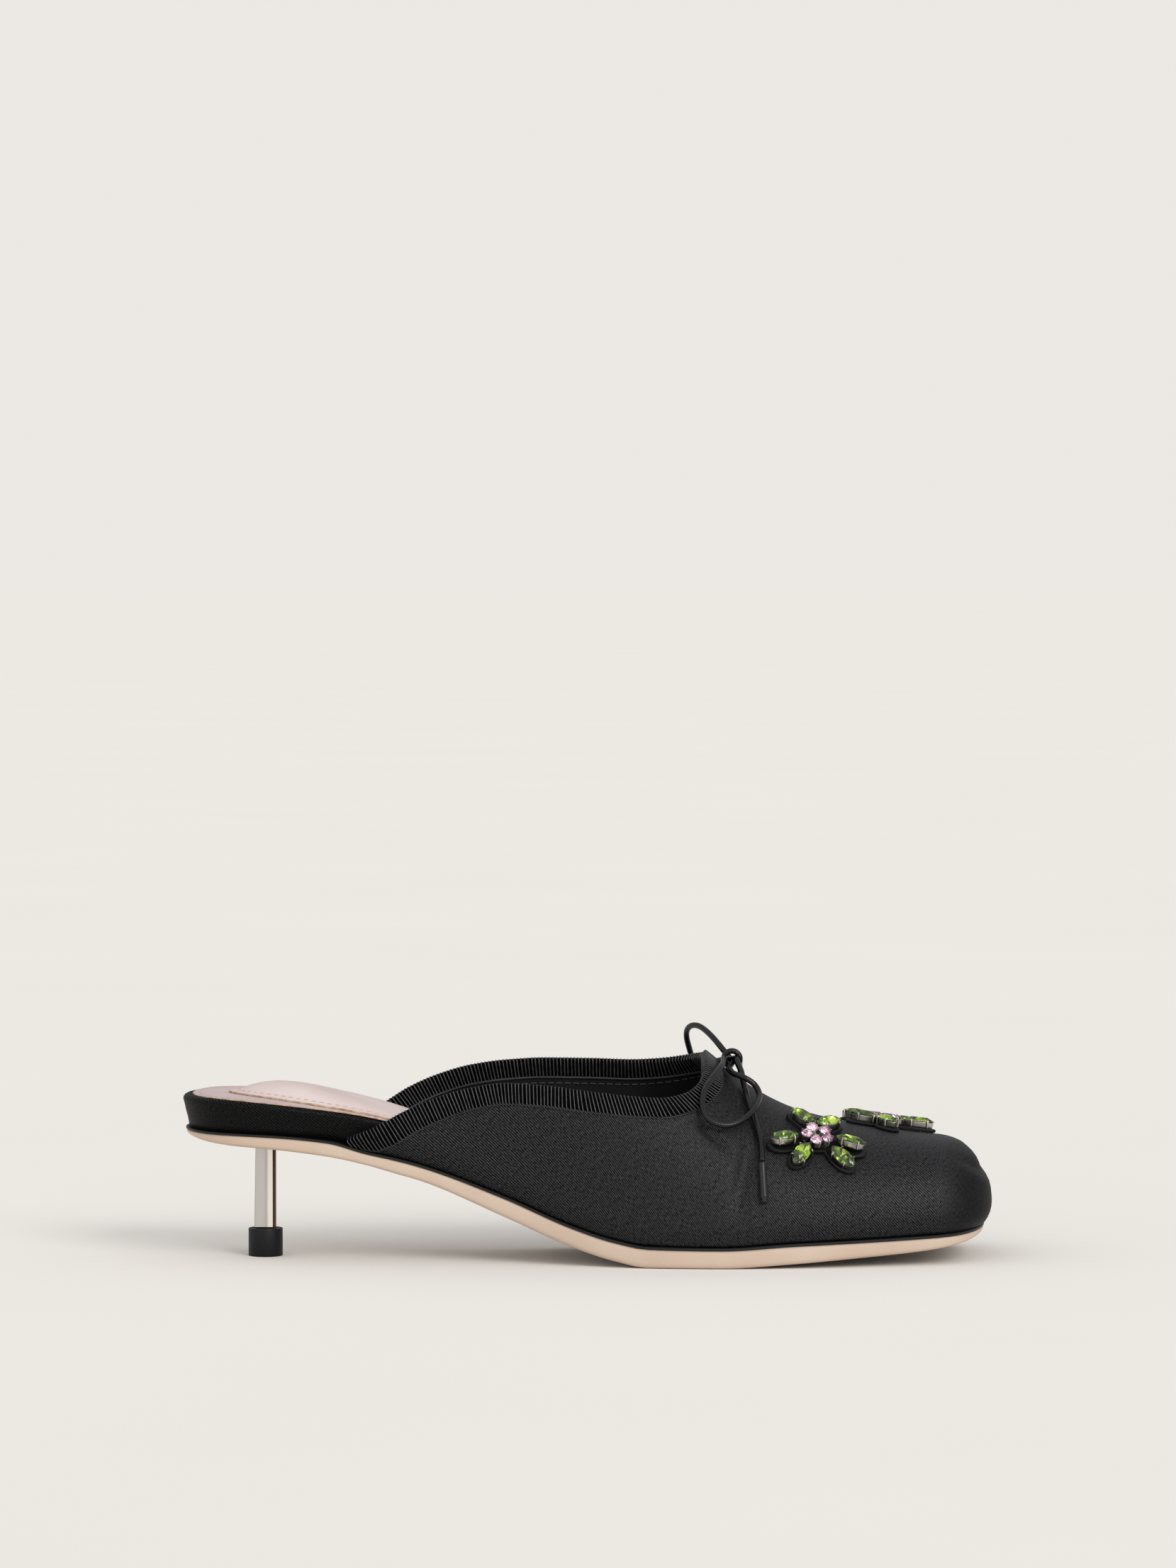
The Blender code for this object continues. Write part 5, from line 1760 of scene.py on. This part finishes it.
    def build_stitching(self) -> None:
        """Ragged thread loops along the ribbon's lower edge and the stitch row inside the collar."""
        random = np.random.default_rng(self.edge_seed)
        thread = self.finishes.black_thread
        least, swing = self.edge_drop
        edge = []
        for step in range(int((self.along[-1] - 2 * self.edge_margin) / self.rib_pitch) * self.scallops):
            at = self.edge_margin + step * self.rib_pitch / self.scallops
            slack = 1.0 if step % self.scallops else random.normal(1.0, self.edge_slack)
            point, down = self.station(at)
            way = self.rib_way(at, point, down)
            outer, _ = self.depths(point, way)
            drop = least + swing * abs(math.sin(math.pi * step / self.scallops)) * slack
            if outer > self.edge_least:
                edge.append(self.last.lifted(point + way * (outer + drop * MM), self.edge_lift)[0])
        self.threads.add("ribbon_edge_thread", [edge], self.edge_radius, 6, thread, "grosgrain")
        row, welt = [], []
        for at in np.arange(self.row_margin, self.along[-1] - self.row_margin, self.row_step):
            point, down = self.station(at)
            _, inner = self.depths(point, down)
            if inner > self.row_least:
                for line, drop, sink in ((row, self.stitch_drop, self.stitch_sink),
                                         (welt, self.welt_drop, self.welt_sink)):
                    line.append(self.last.lifted(point + down * (inner + drop), -self.wall - sink)[0])
        lines = dashes(np.array(row), *self.stitch)
        self.threads.add("collar_stitches", lines, self.stitch_radius, 6, thread, "grosgrain")
        self.threads.add("collar_welt", [welt], self.welt_radius, 8, thread, "grosgrain")


def smooth_line(route: Sequence[Point], step: float) -> np.ndarray:
    """Evenly spaced points of the smooth curve through a route.

    Args:
        route: places given one by one.
        step: spacing wanted.

    Returns:
        The points.
    """
    points = np.array(route)
    along = running(points)
    table = Table(("along", "x", "y", "z"), np.column_stack([along, points]))
    count = max(3, round(along[-1] / step))
    return np.array([[table.at(axis, at) for axis in "xyz"] for at in np.linspace(0, along[-1], count + 1)])


def tube(name: str, path: np.ndarray, radii: Callable[[float], float] | float, sides: int = 14) -> bpy.types.Mesh:
    """Round tube along a path, closed at both ends.

    Args:
        name: mesh name.
        path: points of the middle line.
        radii: radius, or a function of the share of the way.
        sides: corners of the section.

    Returns:
        A closed mesh with a map of the way along and around.
    """
    ways = np.gradient(path, axis=0)
    ways /= np.linalg.norm(ways, axis=1, keepdims=True)
    aside = np.cross(ways[0], (0.3, 0.9, 0.2))
    aside /= np.linalg.norm(aside)
    along = running(path)
    points, marks = [], []
    for place, way, run in zip(path, ways, along):
        aside = aside - way * (aside @ way)
        aside /= np.linalg.norm(aside)
        over = np.cross(way, aside)
        radius = radii(run / along[-1]) if callable(radii) else radii
        for k in range(sides + 1):
            angle = 2 * math.pi * k / sides
            points.append(place + radius * (math.cos(angle) * aside + math.sin(angle) * over))
            marks.append((run, angle * radius))
    width = sides + 1
    faces = [(a * width + k, a * width + k + 1, (a + 1) * width + k + 1, (a + 1) * width + k)
             for a in range(len(path) - 1) for k in range(sides)]
    faces.append(tuple(range(sides)))
    faces.append(tuple(range((len(path) - 1) * width, len(path) * width - 1)))
    return mend(mesh_of(name, points, faces, marks), 1e-6)


def join(name: str, parts: Sequence[bpy.types.Mesh]) -> bpy.types.Mesh:
    """Join meshes into one.

    Args:
        name: name of the joined mesh.
        parts: meshes that share one order of materials.

    Returns:
        The joined mesh.
    """
    bm = bmesh.new()
    for part in parts:
        bm.from_mesh(part)
    data = bpy.data.meshes.new(name)
    for finish in parts[0].materials:
        data.materials.append(finish)
    bm.to_mesh(data)
    bm.free()
    for part in parts:
        bpy.data.meshes.remove(part)
    return data


@dataclass
class Bow:
    """Drawcord tied in a bow at the throat."""

    finishes: Wardrobe
    radius: float = 0.9 * MM
    step: float = 0.7 * MM
    knot: tuple[float, float, float] = (0.0436, 0.0024, 0.0594)
    ring_centre: tuple[float, float, float] = (0.0437, 0.0002, 0.0598)
    ring_radius: float = 2.45 * MM
    ring_cord: float = 0.98
    ring_sway: float = 1.6 * MM
    ring_straight: float = 0.55
    ring_sweep: tuple[float, float] = (-50.0, 230.0)
    ring_steps: int = 40
    channel_y: float = 0.0022
    channel: tuple[Point, ...] = ((0.0385, 0.0016, 0.0588), (0.0405, 0.0015, 0.0592), (0.0425, 0.0008, 0.0598))
    aglet_radius: float = 1.25 * MM
    aglet_length: float = 12.4 * MM
    aglet_over: float = 1.02
    aglet_steps: int = 40
    aglet_sides: int = 18
    gap: float = 0.3 * MM

    def build(self) -> None:
        self.build_knot()
        for side in Side:
            node = "bow_loop_" + side.label
            self.add_strand(node, [self.knot, *BOW_ROUTES[node], self.knot])
            self.build_end(side)

    def build_end(self, side: Side) -> None:
        """One hanging end with its shrunk tube.

        Args:
            side: side of the shoe.
        """
        node, sleeve = "bow_end_" + side.label, "bow_aglet_" + side.label
        start = Vector(BOW_ROUTES[node][-1])
        way = (Vector(AGLET_ENDS[side]) - start).normalized()
        head = start + way * self.gap
        shares = np.linspace(0, self.aglet_over, self.aglet_steps)
        run = np.array([head + way * self.aglet_length * share for share in shares])
        profile = lambda share: self.aglet_radius * AGLET.at("radius", share)
        data = tube(sleeve, run, profile, self.aglet_sides)
        aglet = add_piece("cord_aglet_" + side.label, data, [self.finishes.tube], [sleeve])
        self.add_strand(node, [self.knot, *BOW_ROUTES[node]])

    def add_strand(self, node: str, route: Sequence[Point]) -> None:
        """Args:
            node: solid that it stands for.
            route: places of its middle line.
        """
        path = smooth_line(route, self.step)
        piece = add_piece(node.replace("bow", "cord"), tube(node, path, self.radius), [self.finishes.cord],
                          [node])

    def build_knot(self) -> None:
        """Ring of cord drawn tight round the strands, and the two strands from the ribbon's channel."""
        low, high = self.ring_sweep
        middle, half = (low + high) / 2, (high - low) / 2
        turns = []
        for angle in np.linspace(low, high, self.ring_steps):
            turn = math.radians(angle)
            sway = self.ring_sway * max(abs(angle - middle) / half - self.ring_straight, 0.0) * 2
            offset = (self.ring_radius * math.cos(turn), sway, self.ring_radius * math.sin(turn))
            turns.append(np.array(self.ring_centre) + np.array(offset))
        parts = [tube("knot_ring", np.array(turns), self.radius * self.ring_cord)]
        for way in (-1.0, 1.0):
            route = [(x, self.channel_y + way * spread, z) for x, spread, z in self.channel] + [self.knot]
            parts.append(tube("knot_strand", smooth_line(route, self.step), self.radius))
        add_piece("cord_knot", join("cord_knot", parts), [self.finishes.cord], ["bow_knot"])


def heading(bearing: float) -> np.ndarray:
    """Flat direction of a bearing in degrees."""
    angle = math.radians(bearing)
    return np.array((math.cos(angle), math.sin(angle)))


def hull(name: str, points: Sequence[Point]) -> bpy.types.Mesh:
    """Flat-faced convex stone through points.

    Args:
        name: mesh name.
        points: its corners.

    Returns:
        The mesh.
    """
    bm = bmesh.new()
    verts = [bm.verts.new(p) for p in points]
    bmesh.ops.convex_hull(bm, input=verts)
    bmesh.ops.delete(bm, geom=[v for v in bm.verts if not v.link_faces], context="VERTS")
    bmesh.ops.dissolve_limit(bm, angle_limit=math.radians(1.5), verts=bm.verts, edges=bm.edges)
    bmesh.ops.recalc_face_normals(bm, faces=bm.faces)
    data = bpy.data.meshes.new(name)
    bm.to_mesh(data)
    bm.free()
    return data


@dataclass
class Flower:
    """Stone flower: lobed felt with a corded edge, six navettes in cups and five rounds."""

    last: Last
    finishes: Wardrobe
    threads: ThreadTree
    side: Side
    x: float
    y: float
    turn: float
    lean: float = 1.0
    navette: tuple[float, float, float] = (0.0092, 0.0047, 0.0019)
    round_radius: float = 1.85 * MM
    round_height: float = 1.7 * MM
    round_ring: float = 3.25 * MM
    round_turn: float = 45.0
    rounds: int = 5
    seat_radius: float = 5.0 * MM
    cup_height: float = 1.25 * MM
    gap: float = 0.3 * MM
    backing_gap: float = 0.3 * MM
    backing: float = 1.1 * MM
    margin: float = 0.7 * MM
    core: float = 5.4 * MM
    felt_steps: int = 180
    felt_rows: tuple[tuple[float, float], ...] = ((0.01, 0.4), (0.35, 0.4), (0.7, 0.4), (0.97, 0.4), (1.0, 0.7),
                                                  (0.97, 1.0), (0.7, 1.0), (0.35, 1.0), (0.01, 1.0))
    felt_foot: float = 0.35
    whip_pitch: float = 0.56 * MM
    whip_radius: float = 0.24 * MM
    whip_foot: float = 0.3
    whip_jitter: float = 0.004
    whip_seed: int = 23
    whip_rows: tuple[Point, ...] = ((0.90, 0.0, 0.85), (0.96, 0.2, 0.98), (1.0, 0.35, 0.75), (0.99, 0.5, 0.4),
                                    (0.95, 0.6, 0.15))
    cup_wall: float = 0.75 * MM
    tilt_lift: float = 0.022 * MM
    claw_foot: float = 0.4 * MM
    claw_at: tuple[float, float] = (0.27, 0.435)
    navette_claw: float = 0.27 * MM
    navette_girdle: float = 0.36
    navette_steps: int = 40
    navette_seed: int = 31
    round_claw: float = 0.24 * MM
    round_girdle: float = 0.4
    round_lift: float = 0.1 * MM
    round_steps: int = 28
    round_seed: int = 37
    plate_share: float = 0.9
    plate_height: float = 0.4 * MM
    plate_steps: int = 40

    def __post_init__(self) -> None:
        """Set the flat frame over the curved vamp."""
        hit, _, _, _ = self.last.tree.ray_cast(Vector((self.x, self.y, 0.2)), Vector((0, 0, -1)))
        self.centre, self.normal = self.last.lifted(hit, 0.0)
        ahead = Vector((1, 0, 0))
        self.ahead = (ahead - self.normal * ahead.dot(self.normal)).normalized()
        self.aside = self.normal.cross(self.ahead)
        self.name = "flower_" + self.side.label
        self.cup_at = self.backing_gap + 0.65 * self.backing

    def spread(self, bearing: float, reach: float) -> Vector:
        """Point of the flat frame."""
        along, across = heading(bearing + self.turn) * reach
        return self.centre + self.ahead * along + self.aside * across

    def seat(self, bearing: float, reach: float, axis: float, height: float, tilt: float = 0.0) -> Matrix:
        """Placing of a piece that lies on the vamp.

        Args:
            bearing: bearing of its middle.
            reach: reach of its middle.
            axis: bearing of its x axis.
            height: height over the last.
            tilt: turn about its x axis toward the flower's upper side.

        Returns:
            The placing.
        """
        place, normal = self.last.lifted(self.spread(bearing, reach), height)
        along, across = heading(axis + self.turn)
        way = self.ahead * along + self.aside * across
        way = (way - normal * way.dot(normal)).normalized()
        along, across = heading(90.0 + self.turn)
        rise = math.copysign(1.0, normal.cross(way).dot(self.ahead * along + self.aside * across))
        normal = Matrix.Rotation(-rise * math.radians(tilt), 3, way) @ normal
        turned = Matrix((way, normal.cross(way), normal)).transposed().to_4x4()
        return Matrix.Translation(place) @ turned

    def build(self) -> None:
        """Build and dress the flower."""
        self.build_backing()
        self.build_navettes()
        self.build_rounds()

    def reach(self, bearing: float) -> float:
        """Edge of the lobed felt in a direction from the centre.

        Args:
            bearing: the direction.

        Returns:
            The reach.
        """
        found = self.core
        halves = np.array(self.navette[:2]) / 2 + self.margin
        for petal in PETALS:
            axes = np.array((heading(petal.axis), heading(petal.axis + 90.0)))
            ray = axes @ heading(bearing) / halves
            middle = axes @ heading(petal.bearing) * petal.reach / halves
            along = ray @ middle
            root = along * along - (ray @ ray) * (middle @ middle - 1)
            if root > 0:
                found = max(found, (along + math.sqrt(root)) / (ray @ ray))
        return float(found)

    def build_backing(self) -> None:
        """Felt plate and the cord whipped over its edge."""
        bearings = np.linspace(0, 360, self.felt_steps, endpoint=False)
        edge = [self.reach(b) for b in bearings]
        rings = []
        for share, height in self.felt_rows:
            lift = self.backing_gap + self.backing * (height - self.felt_foot)
            rings.append([self.last.lifted(self.spread(bearing, far * share), lift)[0]
                          for bearing, far in zip(bearings, edge)])
        add_piece(self.name + "_felt", stacked(self.name + "_felt", rings), [self.finishes.felt],
                  [self.name + "_backing"])
        rim = np.array([self.spread(b, far) for b, far in zip(bearings, edge)])
        rim = np.concatenate([rim, rim[:1]])
        along = running(rim)
        random = np.random.default_rng(self.whip_seed)
        loops = []
        for at in np.arange(0.0, along[-1], self.whip_pitch):
            loop = []
            for share, slip, height in self.whip_rows:
                spot = Vector(at_run(at + slip * MM, along, rim))
                spot = self.centre + (spot - self.centre) * (share + random.normal(0, self.whip_jitter))
                lift = self.backing_gap + self.backing * (height - self.whip_foot)
                loop.append(self.last.lifted(spot, lift)[0])
            loops.append(loop)
        self.threads.add(self.name + "_corded_edge", loops, self.whip_radius, 6, self.finishes.whipping,
                         "backing")

    def navette_ring(self, scale: float, height: float, count: int, shift: float = 0.0) -> list[Point]:
        """Pointed oval loop.

        Args:
            scale: size against the stone's girdle.
            height: height over the stone's seat.
            count: corners.
            shift: turn of the corners in steps.

        Returns:
            The loop's points.
        """
        along, across = (scale * size / 2 for size in self.navette[:2])
        ring = []
        for i in range(count):
            angle = 2 * math.pi * (i + shift) / count
            bulge = math.sin(angle) * abs(math.sin(angle)) ** 0.25
            ring.append((along * math.cos(angle), across * bulge, height))
        return ring

    @staticmethod
    def disc(radius: float, height: float, count: int, shift: float = 0.0) -> list[Point]:
        """Round loop whose corners are turned by a shift in steps."""
        turns = [2 * math.pi * (i + shift) / count for i in range(count)]
        return [(radius * math.cos(turn), radius * math.sin(turn), height) for turn in turns]

    def cut_stone(self, name: str, rings: Sequence[Sequence[Point]], girdle: float) -> bpy.types.Mesh:
        """Faceted stone with clear facets above its girdle and foiled ones below.

        Args:
            name: mesh name.
            rings: corners, ring by ring.
            girdle: height of the girdle.

        Returns:
            The mesh.
        """
        data = hull(name, [p for ring in rings for p in ring])
        for face in data.polygons:
            face.material_index = int(face.center.z < girdle - 0.02 * MM and face.normal.z < -0.05)
        return data

    def cup(self, name: str, loop: Callable[[float, float], list[Point]]) -> bpy.types.Mesh:
        """Thin metal cup with a closed floor.

        Args:
            name: mesh name.
            loop: loop of the stone's outline at a scale and a height.

        Returns:
            The mesh.
        """
        top = self.cup_height + self.cup_wall
        rows = ((0.80, 0.0), (0.90, 0.15 * MM), (0.94, 0.6 * MM), (0.985, top - 0.1 * MM), (0.99, top),
                (0.94, top), (0.89, 0.7 * MM), (0.70, 0.25 * MM))
        return stacked(name, [loop(scale, height) for scale, height in rows])

    def hang(self, kind: str, stones: Sequence[bpy.types.Mesh], finishes: Sequence[bpy.types.Material],
             seed: int) -> None:
        """Join the stones of one kind and hang them on the shoe.

        Args:
            kind: what the stones are called.
            stones: their meshes, in place.
            finishes: glass and foil.
            seed: start of the facets' random row.
        """
        name = f"{self.name}_{kind}"
        data = join(name + "s", stones)
        # Each facet's random tone is a painted glint or a dark facet
        paint_facet_glints(data, seed)
        add_piece(name + "s", data, finishes, [f"{name}_{n + 1}" for n in range(len(stones))])

    def hold(self, prefix: str, cups: Sequence[bpy.types.Mesh], claws: Sequence[Sequence[Point]], radius: float,
             nodes: Sequence[str]) -> None:
        """Hang the cups and the claws of one kind of stone.

        Args:
            prefix: start of both names.
            cups: meshes of the cups, in place.
            claws: line of each claw.
            radius: radius of a claw.
            nodes: solids that the cups stand for.
        """
        silver = self.finishes.silver
        add_piece(prefix + "cups", join(prefix + "cups", cups), [silver], nodes)
        self.threads.add(prefix + "claws", claws, radius, 8, silver, "silver")

    def build_navettes(self) -> None:
        """Six navettes, their cups and the claws that hold them."""
        length, width, height = self.navette
        rise = self.navette_girdle * height
        base = self.cup_height + self.gap
        girdle = base + rise
        ring = self.navette_ring
        claw = ((1.06, self.claw_foot), (1.15, base + 0.6 * rise), (1.11, girdle + 0.18 * MM),
                (0.98, girdle + 0.36 * MM), (0.86, girdle + 0.46 * MM))
        stones, cups, claws = [], [], []
        for petal in PETALS:
            tilt = self.lean * petal.tilt
            lift = self.cup_at + tilt * self.tilt_lift
            seat = self.seat(petal.bearing, petal.reach, petal.axis, lift, tilt)
            cups.append(self.cup("cup", lambda scale, z: ring(scale, z, self.navette_steps)))
            rings = [ring(0.12, base - 0.75 * MM, 2), ring(0.56, base - 0.1 * MM, 6, 0.5),
                     ring(1.02, girdle, 12), ring(1.02, girdle + 0.14 * MM, 12),
                     ring(0.82, base + 0.76 * height, 6, 0.5), ring(0.54, base + height, 6)]
            stones.append(self.cut_stone("navette", rings, girdle))
            for mesh in (cups[-1], stones[-1]):
                mesh.transform(seat)
            for end in (-1, 1):
                for across in (-1, 1):
                    x, y = end * self.claw_at[0] * length, across * self.claw_at[1] * width
                    claws.append([seat @ Vector((x, y * way, z)) for way, z in claw])
        glass = [self.finishes.green_glass, self.finishes.green_foil]
        self.hang("navette", stones, glass, self.navette_seed)
        settings = [f"{self.name}_setting_{n + 1}" for n in range(len(PETALS))]
        self.hold(self.name + "_", cups, claws, self.navette_claw, settings)

    def build_rounds(self) -> None:
        """Five round stones in small cups on one seat."""
        centre = self.seat(0.0, 0.0, 0.0, self.cup_at + self.round_lift)
        base = self.cup_height + self.gap
        height, radius, disc = self.round_height, self.round_radius, self.disc
        girdle = base + self.round_girdle * height
        claw = ((1.02, self.claw_foot), (1.08, girdle), (1.02, girdle + 0.26 * MM), (0.84, girdle + 0.44 * MM))
        stones, cups, claws = [], [], []
        for number in range(self.rounds):
            bearing = self.round_turn + 360 / self.rounds * number
            seat = centre @ Matrix.Translation((*(self.round_ring * heading(bearing)), 0.0))
            rings = [disc(0.1 * radius, base - 0.8 * MM, 3), disc(0.6 * radius, base - 0.15 * MM, 7, 0.5),
                     disc(radius, girdle, 14), disc(radius, girdle + 0.1 * MM, 14),
                     disc(0.83 * radius, base + 0.74 * height, 7, 0.5), disc(0.55 * radius, base + height, 7)]
            stones.append(self.cut_stone("round", rings, girdle))
            cups.append(self.cup("cup", lambda scale, z: disc(scale * radius, z, self.round_steps)))
            for mesh in (stones[-1], cups[-1]):
                mesh.transform(seat)
            for quarter in range(4):
                along, across = heading(bearing + 45 + 90 * quarter) * radius
                claws.append([seat @ Vector((along * way, across * way, z)) for way, z in claw])
        plate_radius = self.seat_radius * self.plate_share
        plate = self.cup("plate", lambda _, z: disc(plate_radius, min(z, self.plate_height), self.plate_steps))
        plate.transform(centre)
        glass = [self.finishes.pink_glass, self.finishes.pink_foil]
        self.hang("round", stones, glass, self.round_seed)
        self.hold(self.name + "_round_", cups + [plate], claws, self.round_claw, [self.name + "_centre_seat"])


@dataclass
class Studio:
    """Pale floor, soft light and the camera at the photograph's angle."""

    distance: float = 1.8
    elevation: float = 5.7
    aim_height: float = 0.03
    scale: float = 4642.0
    row: float = 1633.0
    frame_size: tuple[int, int] = (1659, 2212)
    sensor: float = 36.0
    clip: tuple[float, float] = (0.1, 200.0)
    backdrop: str = "#ece8e3"
    floor_half: float = 40.0
    bright_side: tuple[float, float, float] = (-0.2, -0.9, 0.15)
    room: tuple[float, float] = (0.42, 1.135)
    warm: tuple[float, float, float] = (1.0, 0.99, 0.975)
    key: float = 1.3
    key_spread: float = 28.0
    key_from: tuple[float, float, float] = (0.7, -1.0, 0.72)

    def build(self) -> None:
        """Set everything up."""
        self.build_floor()
        self.build_lights()
        self.build_camera()
        bpy.context.scene.view_settings.view_transform = "Standard"

    def build_floor(self) -> None:
        """Seamless pale paper."""
        paper = CloudFinish("pale_paper", 0.9, specular=0.0, tones=("#e9e6e2", "#eae7e3"), patch=0.25,
                            spread=(0.3, 0.7))
        half = self.floor_half
        corners = [(-half, -half, 0), (half, -half, 0), (half, half, 0), (-half, half, 0)]
        data = mesh_of("floor", corners, [(0, 1, 2, 3)])
        data.materials.append(paper.dress())
        floor = bpy.data.objects.new("floor", data)
        bpy.context.scene.collection.objects.link(floor)

    def build_lights(self) -> None:
        """Even room light, brighter in front, and a broad soft key."""
        world = bpy.data.worlds.new("studio")
        bpy.context.scene.world = world
        world.use_nodes = True
        world.node_tree.nodes.clear()
        add = partial(add_node, world.node_tree)
        place = add("ShaderNodeTexCoord").outputs["Generated"]
        bright = Vector(self.bright_side).normalized()
        share = add("ShaderNodeVectorMath", {0: place, 1: bright}, operation="DOT_PRODUCT").outputs["Value"]
        level = add("ShaderNodeMapRange", {"Value": share, "From Min": -1.0, "From Max": 1.0,
                                           "To Min": self.room[0], "To Max": self.room[1]})
        room = add("ShaderNodeBackground", {"Color": (*self.warm, 1.0), "Strength": level})
        paper = add("ShaderNodeBackground", {"Color": linear(self.backdrop), "Strength": 1.0})
        seen = add("ShaderNodeLightPath").outputs["Is Camera Ray"]
        add("ShaderNodeOutputWorld", {"Surface": add("ShaderNodeMixShader", {0: seen, 1: room, 2: paper})})
        sun = bpy.data.lights.new("key", "SUN")
        sun.energy = self.key
        sun.angle = math.radians(self.key_spread)
        sun.color = self.warm
        key = bpy.data.objects.new("key", sun)
        key.rotation_euler = Vector(self.key_from).to_track_quat("Z", "Y").to_euler()
        bpy.context.scene.collection.objects.link(key)

    def build_camera(self) -> None:
        """Long lens a little above the shoe."""
        height = self.frame_size[1]
        lift = math.radians(self.elevation)
        drop = math.atan((self.row - height / 2) / (self.scale * self.distance))
        focal = self.scale * self.distance * math.cos(drop)
        data = bpy.data.cameras.new("camera")
        data.sensor_width = self.sensor
        data.lens = focal / height * self.sensor
        data.clip_start, data.clip_end = self.clip
        camera = bpy.data.objects.new("camera", data)
        way = Vector((0, -math.cos(lift), math.sin(lift)))
        camera.location = Vector((0, 0, self.aim_height)) + self.distance * way
        camera.rotation_euler = (math.pi / 2 - (lift - drop), 0, 0)
        bpy.context.scene.collection.objects.link(camera)
        bpy.context.scene.camera = camera


def main() -> None:
    """Build the studio and the shoe piece by piece."""
    logging.basicConfig(level=logging.INFO, format="%(name)s %(message)s")
    Studio().build()
    finishes = Wardrobe()
    threads = ThreadTree()
    last = Last()
    Bow(finishes).build()
    Sole(last, finishes).build()
    Footbed(last, finishes, threads).build()
    Heel(finishes).build()
    Upper(last, finishes).build()
    Binding(last, finishes, threads).build()
    Flower(last, finishes, threads, Side.LATERAL, x=0.0683, y=-0.0211, turn=0.0).build()
    Flower(last, finishes, threads, Side.MEDIAL, x=0.0899, y=0.0096, turn=160.0, lean=0.0).build()


if __name__ == "__main__":
    main()
